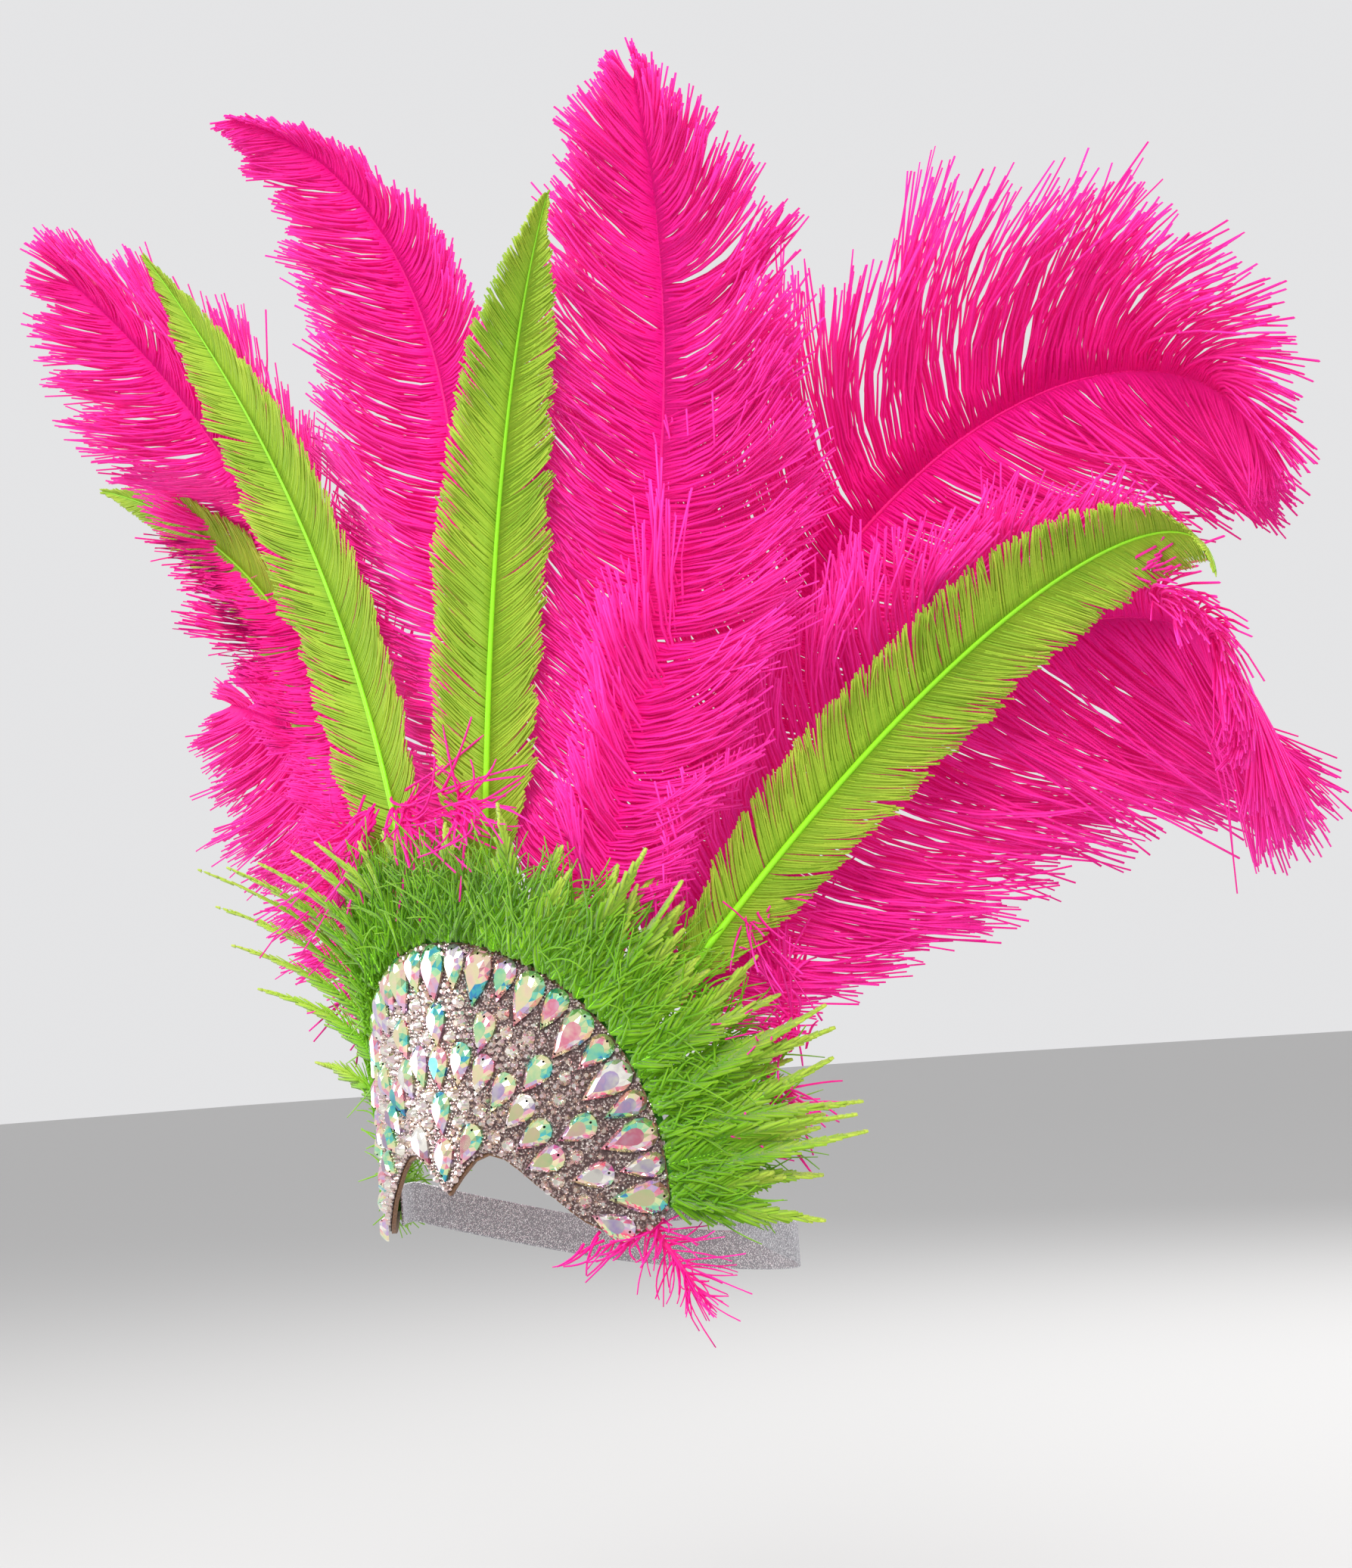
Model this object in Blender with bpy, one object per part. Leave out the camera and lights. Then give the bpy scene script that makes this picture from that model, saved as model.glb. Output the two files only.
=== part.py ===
"""Carnival feather headdress: a stoned crown plate on an elastic band, with a fan of plumes.

Metres, +Z up. The wearer looks along -Y and the wearer's left side is +X. The origin is the
middle of the head at the height where the crown plate's lower edge meets the brow.
"""

import bmesh
import bpy
import numpy as np

# Head that the crown is made for, and how the plate stands off it
HEAD_HALF_WIDTH = 0.078
HEAD_HALF_LENGTH = 0.102
FOREHEAD_GAP = 0.004
TOUCH_GAP = 0.0003

# Crown plate: a fan cut from stiffened leatherette and rolled to a cylinder
PLATE_RADIUS = 0.119
PLATE_WALL = 0.002
FAN_BASE_Z = 0.011
FAN_TOP_REACH = 0.1235
FAN_SIDE_REACH = 0.1115
CORNER_RADIUS = 0.016
PLATE_COLUMNS = 40
LEAST_EDGE = 0.001

# Lower edge of the plate from its middle point out to the corner, as shares of FAN_SIDE_REACH
# (across, above the fan's base)
BROW_EDGE = (
    (0.00, 0.045), (0.08, 0.120), (0.17, 0.190), (0.26, 0.205), (0.36, 0.150), (0.44, 0.080),
    (0.52, 0.020), (0.60, -0.050), (0.67, -0.100), (0.75, -0.132),
)

# Stone bed: the crust of stones that covers the plate's front
BED_WALL = 0.0009
BED_MARGIN = 0.0012
STONE_SINK = 0.0004
STONE_GAP = 0.0003

# Drop stones: flat-backed, a girdle, crown facets and a table
DROP_SIDES = 12
BED_DROP_SIDES = 10
TABLE_SHARE = 0.52
GIRDLE_SHARE = 0.28
DROP_ROUND_SHARE = 1.15
DROP_TAPER = 0.9
LARGE_DROP_LENGTH = 0.0275
LARGE_DROP_HEIGHT = 0.0048
SMALL_DROP_LENGTH = 0.0215
SMALL_DROP_HEIGHT = 0.0042
LARGE_TO_SMALL_WIDTH = 1.26
BED_DROP_LENGTH = 0.0205
BED_DROP_WIDTH = 0.0122
BED_DROP_HEIGHT = 0.0042

# Rim row of drops along the plate's arc: pairs on each side of the middle one, the last pair
# turned down into the corner (angle of its place, angle that it points, share of the fan's reach)
RIM_DROP_PAIRS = 13
RIM_MARGIN = 0.0005
RIM_ROW_INSET = 0.0125
RIM_ROW_END = 90.0
CORNER_DROP = (97.5, 116.0, 0.768)

# Drops of the bed (angle from the top in degrees, share of the fan's reach there)
BED_DROPS = (
    (0, 0.178), (0, 0.352), (0, 0.524), (0, 0.690), (30, 0.272),
    (11.8, 0.548), (23.2, 0.537), (34.8, 0.522), (46.6, 0.515), (58.8, 0.515), (71, 0.520),
    (19.5, 0.690), (42.4, 0.670), (65.7, 0.688), (81.9, 0.698),
)

# Round stones fill the widest gaps that the drops leave
ROUND_PAIRS = 18
ROUND_DIAMETER = 0.0072
ROUND_SIDES = 8
ROUND_HEIGHT_SHARE = 0.5

# Elastic band, as flat elastic 20 mm wide
BAND_WIDTH = 0.020
BAND_THICKNESS = 0.0012
BAND_LAP = 0.024
BAND_LAP_END = 0.004
BAND_SHOULDER = 0.010
BAND_TURN_IN = (0.06, 0.22)
BAND_END_Z = 0.009
BAND_BACK_DROP = 0.040
BAND_DROP_START_SHARE = 0.14
BAND_SECTIONS = 28
# Places round the back of the head that the band passes (angle from the side, in degrees)
BAND_HEAD_TURNS = (22, 34, 46, 58, 70, 80, 90)

# Collar of hackle feathers behind the plate's edge
COLLAR_ROOT_WALL = 0.0025
COLLAR_ROOT_INSET = 0.0115
COLLAR_HALF_ANGLE = 93.0
COLLAR_SPIKES = 28
# Section of the collar outwards from the plate's edge
# (share of the feather's length, front height above the plate's face, back height), heights in metres
COLLAR_SECTION = (
    (0.10, 0.0030, -0.0048), (0.36, 0.0095, -0.0030), (0.70, 0.0120, 0.0040), (1.00, 0.0130, 0.0105),
)
COLLAR_LENGTH = 0.062
# Length of the hackles around the fan (angle from the top, share of COLLAR_LENGTH)
COLLAR_REACH = (
    (-93, 0.70), (-80, 1.00), (-58, 1.50), (-32, 1.30), (0, 0.85), (30, 0.95), (55, 1.20), (80, 1.30),
    (93, 0.75),
)
COLLAR_NOTCH_SHARE = 0.66

# Feather stems, which are glued behind the collar with their feet on the fan
FOOT_INSET = 0.0135
STEM_RADIUS = 0.0021
VANE_START_SHARE = 0.13
PLUME_LENGTH = 0.465
PLUME_BARB = 0.080
PLUME_WALL = 0.0044
QUILL_LENGTH = 0.430
QUILL_BARB = 0.036
QUILL_WALL = 0.0026
TUFT_LENGTH = 0.048
TUFT_BARB = 0.032
LOCK_NOTCH_SHARE = 0.80
STEM_ROWS = 3
FACE_SHARE = 0.4
# Wall at the edge of a vane and of a stem, as a share of the wall in its middle
VANE_EDGE_SHARE = 0.35
STEM_EDGE_SHARE = 0.45

# Feather table, angles in degrees. A stem leaves its foot in the plate's face, leaning from the
# upright and tilted back, and ends in the heading (0 ahead of the wearer, +90 to the left side) and
# rise of its tip. The bend says how late it turns, and face is the azimuth that the vane looks to.
FEATHER_COLUMNS = (
    "name", "kind", "foot", "lean", "tilt", "tip_heading", "tip_rise", "bend", "length", "barb", "face",
    "droop",
)
FEATHERS = (
    ("plume_centre", "plume", 2, 2, 5, -18, 6, 4.0, 1.000, 1.00, 22, 0.12),
    ("plume_left_1", "plume", 31, 23, 6.5, 31, 47, 1.3, 0.940, 0.94, 22, 0.10),
    ("plume_left_2", "plume", 46, 28, 7, 60, -57, 2.9, 1.100, 1.15, 60, 0.10),
    ("plume_left_3", "plume", 70, 32, 8, 28, -56, 2.0, 1.010, 1.10, 66, 0.12),
    ("plume_right_1", "plume", -31, -22, 3, -35, 45, 1.55, 1.000, 1.00, 0, 0.12),
    ("plume_right_2", "plume", -58, -32, 8, -102, 16, 0.8, 0.945, 0.95, -16, 0.12),
    ("plume_right_3", "plume", -74, -38, 8, -130, -45, 1.8, 0.900, 1.00, -40, 0.12),
    ("quill_left_1", "quill", 14, 3, 2, 59, 21, 1.8, 0.915, 1.00, 28, 0.0),
    ("quill_left_2", "quill", 59, 40, 2, 32, -35, 1.9, 1.120, 1.00, 48, 0.0),
    ("quill_right_1", "quill", -14, -12, 4, -54, 57, 1.1, 0.995, 1.00, 6, 0.0),
    ("quill_right_2", "quill", -47, -18, 2, -83, 19, 1.35, 1.095, 1.00, -12, 0.0),
    ("temple_tuft", "tuft", 94, 145, 5, 95, -52, 1.0, 1.0, 1.0, 50, 0.0),
)
KINDS = {
    "plume": {"length": PLUME_LENGTH, "barb": PLUME_BARB, "wall": PLUME_WALL, "rows": 20, "half_columns": 2},
    "quill": {"length": QUILL_LENGTH, "barb": QUILL_BARB, "wall": QUILL_WALL, "rows": 16, "half_columns": 1},
    "tuft": {"length": TUFT_LENGTH, "barb": TUFT_BARB, "wall": QUILL_WALL, "rows": 10, "half_columns": 1},
}
# Outline of a vane (place along the stem after VANE_START_SHARE, share of the barb's length)
VANE_OUTLINE = {
    "plume": ((0.0, 0.16), (0.12, 0.45), (0.30, 0.88), (0.45, 1.0), (0.80, 0.94), (0.94, 0.70), (1.0, 0.45)),
    "quill": ((0.0, 0.45), (0.08, 0.80), (0.25, 1.0), (0.60, 0.95), (0.80, 0.66), (0.94, 0.30), (1.0, 0.10)),
    "tuft": ((0.0, 0.40), (0.30, 0.90), (0.70, 1.0), (1.0, 0.60)),
}
# Angle between barb and stem, in degrees (place along the stem after VANE_START_SHARE, angle)
BARB_ANGLE = {
    "plume": ((0.0, 62), (0.5, 52), (0.85, 38), (1.0, 20)),
    "quill": ((0.0, 50), (0.5, 46), (0.85, 34), (1.0, 14)),
    "tuft": ((0.0, 50), (1.0, 18)),
}
CURL_SHARE = 0.18

# Colours (red, green, blue), roughness and metallic value
MATERIALS = {
    "leatherette": ((0.42, 0.24, 0.13), 0.55, 0.0),
    "crystal": ((0.80, 0.76, 0.72), 0.12, 0.30),
    "stone_bed": ((0.55, 0.45, 0.42), 0.30, 0.40),
    "elastic": ((0.60, 0.60, 0.63), 0.60, 0.20),
    "green_hackle": ((0.10, 0.42, 0.02), 0.70, 0.0),
    "green_quill": ((0.36, 0.55, 0.05), 0.60, 0.0),
    "pink_plume": ((0.95, 0.02, 0.32), 0.70, 0.0),
}

CYLINDER_Y = PLATE_RADIUS - PLATE_WALL - HEAD_HALF_LENGTH - FOREHEAD_GAP


def clear_scene():
    """Take every object out of the scene."""
    for item in list(bpy.data.objects):
        bpy.data.objects.remove(item, do_unlink=True)


def make_material(name):
    """Principled material with the colour, roughness and metallic value of the table above."""
    colour, roughness, metallic = MATERIALS[name]
    material = bpy.data.materials.new(name)
    material.use_nodes = True
    shader = material.node_tree.nodes["Principled BSDF"]
    shader.inputs["Base Color"].default_value = (*colour, 1.0)
    shader.inputs["Roughness"].default_value = roughness
    shader.inputs["Metallic"].default_value = metallic
    return material


def add_object(name, vertices, faces, material):
    """Mesh object from points and faces, its faces turned outwards, smooth below 40 degrees."""
    mesh = bpy.data.meshes.new(name)
    mesh.from_pydata([tuple(point) for point in np.asarray(vertices)], [], [tuple(face) for face in faces])
    work = bmesh.new()
    work.from_mesh(mesh)
    bmesh.ops.recalc_face_normals(work, faces=work.faces)
    work.to_mesh(mesh)
    work.free()
    mesh.shade_smooth()
    mesh.set_sharp_from_angle(angle=np.radians(40))
    mesh.materials.append(material)
    item = bpy.data.objects.new(name, mesh)
    bpy.context.scene.collection.objects.link(item)
    return item


def smooth_curve(x, table):
    """Catmull-Rom curve through the rows (x, y) of a table, read at x."""
    xs, ys = np.array(table, float).T
    slope = np.gradient(ys, xs)
    x = np.clip(x, xs[0], xs[-1])
    i = np.clip(np.searchsorted(xs, x) - 1, 0, len(xs) - 2)
    step = xs[i + 1] - xs[i]
    t = (x - xs[i]) / step
    start = (2 * t**3 - 3 * t**2 + 1) * ys[i] + (t**3 - 2 * t**2 + t) * step * slope[i]
    return start + (3 * t**2 - 2 * t**3) * ys[i + 1] + (t**3 - t**2) * step * slope[i + 1]


def wrap(across, up, height=0.0):
    """Roll flat pattern places onto the plate's front face, height outwards from that face."""
    turn = np.asarray(across) / PLATE_RADIUS
    radius = PLATE_RADIUS + height
    return np.stack([radius * np.sin(turn), CYLINDER_Y - radius * np.cos(turn), up + 0 * turn], axis=-1)


def fan_reach(angle):
    """Reach of the fan's arc from its centre, from the top reach down to the side reach."""
    share = np.sin(np.radians(np.clip(np.abs(angle), 0, 90))) ** 2
    return FAN_TOP_REACH + (FAN_SIDE_REACH - FAN_TOP_REACH) * share


def fan_place(angle, reach):
    """Flat pattern place (across, up) at an angle from the top and a reach from the fan's centre."""
    turn = np.radians(angle)
    return reach * np.sin(turn), FAN_BASE_Z + reach * np.cos(turn)


def fan_top(across):
    """Upper edge of the fan's pattern over a place across: the ellipse-like arc, read by its angle."""
    angles = np.linspace(0, 90, 181)
    side, up = fan_place(angles, fan_reach(angles))
    return np.interp(np.abs(across), side, up)


def fan_bottom(across):
    """Lower edge of the pattern: the brow curve, then a rounded corner at the plate's end."""
    corner = FAN_SIDE_REACH - CORNER_RADIUS
    brow = (*BROW_EDGE, (corner / FAN_SIDE_REACH, -CORNER_RADIUS / FAN_SIDE_REACH))
    side = np.abs(across)
    edge = FAN_BASE_Z + FAN_SIDE_REACH * smooth_curve(side / FAN_SIDE_REACH, brow)
    over = np.clip(side - corner, 0, CORNER_RADIUS)
    round_end = FAN_BASE_Z - np.sqrt(np.maximum(CORNER_RADIUS**2 - over**2, 0))
    return np.where(side > corner, round_end, edge)


def plate_shell(name, low, high, margin, material, columns=PLATE_COLUMNS):
    """Rolled sheet with the fan's outline less a margin, from height low to height high."""
    turn = np.linspace(-90, 90, columns + 1)
    across = (FAN_SIDE_REACH - margin) * np.sin(np.radians(turn))
    top = fan_top(across * FAN_SIDE_REACH / (FAN_SIDE_REACH - margin)) - margin
    bottom = np.minimum(fan_bottom(across) + margin, top - LEAST_EDGE)
    points = []
    for height in (high, low):
        for up in (bottom, top):
            points.append(wrap(across, up, height))
    rows = len(points)
    ring = [0, 1, 3, 2]
    vertices = np.concatenate(points)
    count = columns + 1
    faces = []
    for column in range(columns):
        for k in range(rows):
            a, b = ring[k] * count + column, ring[(k + 1) % rows] * count + column
            faces.append((a, a + 1, b + 1, b))
    for column in (0, columns):
        faces.append([row * count + column for row in ring])
    return add_object(name, vertices, faces, material)


def drop_outline(sides):
    """Drop outline of unit length and width, the point at -0.5 and the round end at +0.5."""
    turn = 2 * np.pi * np.arange(sides) / sides
    along = np.cos(turn)
    width = np.sin(turn) * (0.5 + 0.5 * np.clip((along + 1) / DROP_ROUND_SHARE, 0, 1) ** DROP_TAPER)
    return np.stack([0.5 * along, 0.5 * width / np.abs(width).max()], axis=1)


def faceted_stone(outline, frame, levels):
    """Closed stone: flat back, then rings (share of the outline, level) up to a flat table."""
    centre, along, aside, outward = frame
    sides = len(outline)
    points = []
    for share, level in levels:
        flat = outline * share
        points.append(centre + flat[:, :1] * along + flat[:, 1:] * aside + level * outward)
    vertices = np.concatenate(points)
    last = len(levels) - 1
    faces = [list(range(sides))[::-1], list(range(last * sides, (last + 1) * sides))]
    for level in range(last):
        for k in range(sides):
            a, b = level * sides + k, level * sides + (k + 1) % sides
            faces.append((a, b, b + sides, a + sides))
    return vertices, faces


def stone_frame(angle, reach, height):
    """Place on the rolled fan, with the outward radial way, the sideways way and the face normal."""
    across, up = fan_place(angle, reach)
    turn = across / PLATE_RADIUS
    tilt = np.radians(angle)
    tangent = np.array([np.cos(turn), np.sin(turn), 0.0])
    outward = np.array([np.sin(turn), -np.cos(turn), 0.0])
    rise = np.array([0.0, 0.0, 1.0])
    radial = np.sin(tilt) * tangent + np.cos(tilt) * rise
    sideways = np.cos(tilt) * tangent - np.sin(tilt) * rise
    return wrap(across, up, height), radial, sideways, outward


def rim_drop(length, width, height, place, points_to):
    """Drop stone with a girdle, lying at a place (angle, reach) with its round end to points_to."""
    outline = turn_outline(drop_outline(DROP_SIDES) * (length, width), points_to - place[0])
    levels = ((1.0, 0.0), (1.0, GIRDLE_SHARE * height), (TABLE_SHARE, height))
    return faceted_stone(outline, stone_frame(*place, 2 * TOUCH_GAP + BED_WALL), levels)


def turn_outline(outline, degrees):
    """Outline turned in its plane, from its length towards its width."""
    turn = np.radians(degrees)
    along, aside = outline.T
    turned = (along * np.cos(turn) - aside * np.sin(turn), along * np.sin(turn) + aside * np.cos(turn))
    return np.stack(turned, axis=1)


def bed_stone(outline, angle, reach, height):
    """Stone sunk in the bed, so that only its crown facets and table show."""
    levels = ((1.0, -STONE_SINK), (TABLE_SHARE, height))
    return faceted_stone(outline, stone_frame(angle, reach, TOUCH_GAP + BED_WALL), levels)


def round_outline(diameter):
    """Corners of a round stone."""
    turn = 2 * np.pi * (np.arange(ROUND_SIDES) + 0.5) / ROUND_SIDES
    return 0.5 * diameter * np.stack([np.cos(turn), np.sin(turn)], axis=1)


def rim_places():
    """Rim drops as (length, width, height, place, way): evenly spaced along a line inside the arc."""
    angles = np.linspace(0, RIM_ROW_END, 361)
    side, up = fan_place(angles, fan_reach(angles) - RIM_ROW_INSET)
    run = np.concatenate([[0], np.cumsum(np.hypot(np.diff(side), np.diff(up)))])
    pitch = run[-1] / (RIM_DROP_PAIRS - 1)
    small_width = 2 * (pitch - STONE_GAP) / (1 + LARGE_TO_SMALL_WIDTH)
    for step in range(-RIM_DROP_PAIRS, RIM_DROP_PAIRS + 1):
        large = step % 2 == 0
        length = LARGE_DROP_LENGTH if large else SMALL_DROP_LENGTH
        height = LARGE_DROP_HEIGHT if large else SMALL_DROP_HEIGHT
        width = small_width * (LARGE_TO_SMALL_WIDTH if large else 1)
        if abs(step) == RIM_DROP_PAIRS:
            angle, way, share = CORNER_DROP
            reach = share * FAN_SIDE_REACH
        else:
            angle = way = np.interp(abs(step) * pitch, run, angles)
            reach = fan_reach(angle) - RIM_MARGIN - 0.5 * length
        sign = -1 if step < 0 else 1
        yield length, width, height, (sign * angle, reach), sign * way


def flat_outline(outline, angle, reach, way):
    """Outline of a stone in the flat pattern, its round end pointing to the angle way."""
    turn = np.radians(way)
    along = np.array([np.sin(turn), np.cos(turn)])
    aside = np.array([np.cos(turn), -np.sin(turn)])
    return np.array(fan_place(angle, reach)) + outline[:, :1] * along + outline[:, 1:] * aside


def clearance(places, outline):
    """How far each flat place lies outside a convex outline: the largest distance to an edge line."""
    edge = np.roll(outline, -1, axis=0) - outline
    normal = np.stack([edge[:, 1], -edge[:, 0]], axis=1)
    normal /= np.linalg.norm(normal, axis=1)[:, None]
    inside = np.sign(np.sum((outline.mean(axis=0) - outline) * normal, axis=1))
    normal *= -inside[:, None]
    return np.max(np.sum((places[:, None] - outline) * normal, axis=2), axis=1)


def round_places():
    """Round stones (angle, reach, diameter) in the widest gaps: the place with the most room is
    taken first, then the room that is left is measured again."""
    angle, share = np.meshgrid(np.linspace(2, 94, 93), np.linspace(0.10, 0.84, 75))
    angle, reach = angle.ravel(), share.ravel() * fan_reach(angle.ravel())
    places = np.stack(fan_place(angle, reach), axis=1)
    edge_across = np.linspace(0, FAN_SIDE_REACH, 240)
    low_edge = np.stack([edge_across, fan_bottom(edge_across)], axis=1)
    room = np.min(np.linalg.norm(places[:, None] - low_edge, axis=2), axis=1) - 2 * BED_MARGIN
    room[places[:, 1] < fan_bottom(places[:, 0])] = 0
    room = np.minimum(room, places[:, 0] - STONE_GAP)
    unit = drop_outline(BED_DROP_SIDES) * (BED_DROP_LENGTH, BED_DROP_WIDTH)
    outlines = [flat_outline(unit, a, share * fan_reach(a), a) for a, share in BED_DROPS]
    for length, width, _, place, way in rim_places():
        outlines.append(flat_outline(drop_outline(DROP_SIDES) * (length, width), *place, way))
    for outline in outlines:
        room = np.minimum(room, clearance(places, outline) - STONE_GAP)
    stones = []
    for _ in range(ROUND_PAIRS):
        best = np.argmax(room)
        radius = min(room[best], 0.5 * ROUND_DIAMETER)
        stones.append((angle[best], reach[best], 2 * radius))
        away = np.linalg.norm(places - places[best], axis=1) - radius - STONE_GAP
        room = np.minimum(room, away)
    return stones


def both_sides(rows):
    """Each row once where it is in the middle, otherwise once for each side."""
    for row in rows:
        for sign in ((1,) if row[0] == 0 else (1, -1)):
            yield (sign * row[0], *row[1:])


def stone_bed(materials):
    """Crust of stones: a thin rolled sheet with drops and round stones fused onto it."""
    bed = plate_shell("stone_bed", TOUCH_GAP, TOUCH_GAP + BED_WALL, BED_MARGIN, materials["stone_bed"])
    unit = drop_outline(BED_DROP_SIDES) * (BED_DROP_LENGTH, BED_DROP_WIDTH)
    stones = []
    for angle, share in both_sides(BED_DROPS):
        stones.append(bed_stone(unit, angle, share * fan_reach(angle), BED_DROP_HEIGHT))
    for angle, reach, diameter in both_sides(round_places()):
        stones.append(bed_stone(round_outline(diameter), angle, reach, ROUND_HEIGHT_SHARE * diameter))
    vertices, faces = [], []
    start = 0
    for points, polygons in stones:
        vertices.append(points)
        faces += [[start + k for k in polygon] for polygon in polygons]
        start += len(points)
    added = add_object("bed_stones", np.concatenate(vertices), faces, materials["crystal"])
    added.hide_render = True
    added.display_type = "WIRE"
    join = bed.modifiers.new("stones", "BOOLEAN")
    join.operation = "UNION"
    join.solver = "EXACT"
    join.object = added
    return bed


def rim_drops(materials):
    """Row of loose drops on the plate's arc, large and small in turn."""
    for number, stone in enumerate(rim_places(), start=1):
        add_object(f"rim_drop_{number:02d}", *rim_drop(*stone), materials["crystal"])


def elastic_band(materials):
    """Elastic from inside one end of the plate, round the back of the head, to the other end."""
    lap_radius = PLATE_RADIUS - PLATE_WALL - COLLAR_ROOT_WALL - 2 * TOUCH_GAP - 0.5 * BAND_THICKNESS
    end_turn = FAN_SIDE_REACH / PLATE_RADIUS
    lap_turns = end_turn - np.array([BAND_LAP, 0.5 * BAND_LAP, BAND_LAP_END]) / PLATE_RADIUS
    lap = np.stack([lap_radius * np.sin(lap_turns), CYLINDER_Y - lap_radius * np.cos(lap_turns)], axis=1)
    head = np.array([HEAD_HALF_WIDTH, HEAD_HALF_LENGTH]) + TOUCH_GAP + 0.5 * BAND_THICKNESS
    turns = np.radians(BAND_HEAD_TURNS)
    round_head = np.stack([head[0] * np.cos(turns), head[1] * np.sin(turns)], axis=1)
    leave = np.array([np.cos(end_turn), np.sin(end_turn)])
    inward = np.array([-np.sin(end_turn), np.cos(end_turn)])
    shoulder = lap[-1] + BAND_SHOULDER * (leave + BAND_TURN_IN[0] * inward)
    turn_in = lap[-1] + 2 * BAND_SHOULDER * (leave + BAND_TURN_IN[1] * inward)
    half = np.concatenate([lap, [shoulder, turn_in], round_head])
    reach = np.concatenate([[0], np.cumsum(np.hypot(*np.diff(half, axis=0).T))])
    share = reach / reach[-1]
    at = np.linspace(0, 1, BAND_SECTIONS + 1)
    plan = np.stack([smooth_curve(at, list(zip(share, half[:, k]))) for k in (0, 1)], axis=1)
    fall = np.clip((at - BAND_DROP_START_SHARE) / (1 - BAND_DROP_START_SHARE), 0, 1)
    up = BAND_END_Z - BAND_BACK_DROP * np.sin(0.5 * np.pi * fall) ** 1.2
    right = np.column_stack([plan, up])
    line = np.concatenate([right, right[-2::-1] * (-1, 1, 1)])
    along = np.gradient(line, axis=0)
    along /= np.linalg.norm(along, axis=1)[:, None]
    outward = np.cross(along, (0, 0, 1))
    outward /= np.linalg.norm(outward, axis=1)[:, None]
    upward = np.cross(outward, along)
    half_width, half_wall = 0.5 * BAND_WIDTH, 0.5 * BAND_THICKNESS
    corners = [(half_wall, half_width), (half_wall, -half_width)]
    corners += [(-half_wall, -half_width), (-half_wall, half_width)]
    vertices = np.concatenate([line + a * outward + b * upward for a, b in corners])
    count = len(line)
    faces = []
    for k in range(4):
        a, b = k * count, (k + 1) % 4 * count
        faces += [(a + j, a + j + 1, b + j + 1, b + j) for j in range(count - 1)]
    faces += [[k * count for k in range(4)], [(k + 1) * count - 1 for k in range(4)]]
    return add_object("elastic_band", vertices, faces, materials["elastic"])


def hackle_collar(materials):
    """Ring of hackles: a root sheet behind the plate that opens into spikes past its edge."""
    root_front = -PLATE_WALL - TOUCH_GAP
    root_back = root_front - COLLAR_ROOT_WALL
    count = 2 * COLLAR_SPIKES + 1
    angle = np.linspace(-COLLAR_HALF_ANGLE, COLLAR_HALF_ANGLE, count)
    edge = fan_reach(angle) + TOUCH_GAP
    length = COLLAR_LENGTH * smooth_curve(angle, COLLAR_REACH)
    notch = np.where(np.arange(count) % 2, 1.0, COLLAR_NOTCH_SHARE)
    across, up = fan_place(angle, edge)
    turn = across / PLATE_RADIUS
    tilt = np.radians(angle)
    ones = np.ones(count)
    tangent = np.stack([np.cos(turn), np.sin(turn), 0 * turn], axis=1)
    outward = np.stack([np.sin(turn), -np.cos(turn), 0 * turn], axis=1)
    radial = np.sin(tilt)[:, None] * tangent + np.cos(tilt)[:, None] * (0, 0, 1)
    front, back = [], []
    for reach in ((FAN_SIDE_REACH - COLLAR_ROOT_INSET) * ones, edge):
        side, rise = fan_place(angle, reach)
        front.append(wrap(side, rise, root_front))
        back.append(wrap(side, rise, root_back))
    base = wrap(across, up, 0.0)
    for share, high, low in COLLAR_SECTION:
        trim = 1 - (1 - notch) * share
        spread = (length * share * trim)[:, None] * radial
        front.append(base + spread + high * outward)
        back.append(base + spread + low * outward)
    rings = front + back[::-1]
    vertices = np.concatenate(rings)
    total = len(rings)
    faces = []
    for k in range(total):
        a, b = k * count, (k + 1) % total * count
        faces += [(a + j, a + j + 1, b + j + 1, b + j) for j in range(count - 1)]
    faces += [[k * count for k in range(total)], [(k + 1) * count - 1 for k in range(total)]]
    return add_object("hackle_collar", vertices, faces, materials["green_hackle"])


def heading(azimuth, rise):
    """Unit way from an azimuth (0 ahead of the wearer, +90 to the left side) and a rise."""
    a, e = np.radians(azimuth), np.radians(rise)
    return np.array([np.sin(a) * np.cos(e), -np.cos(a) * np.cos(e), np.sin(e)])


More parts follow.
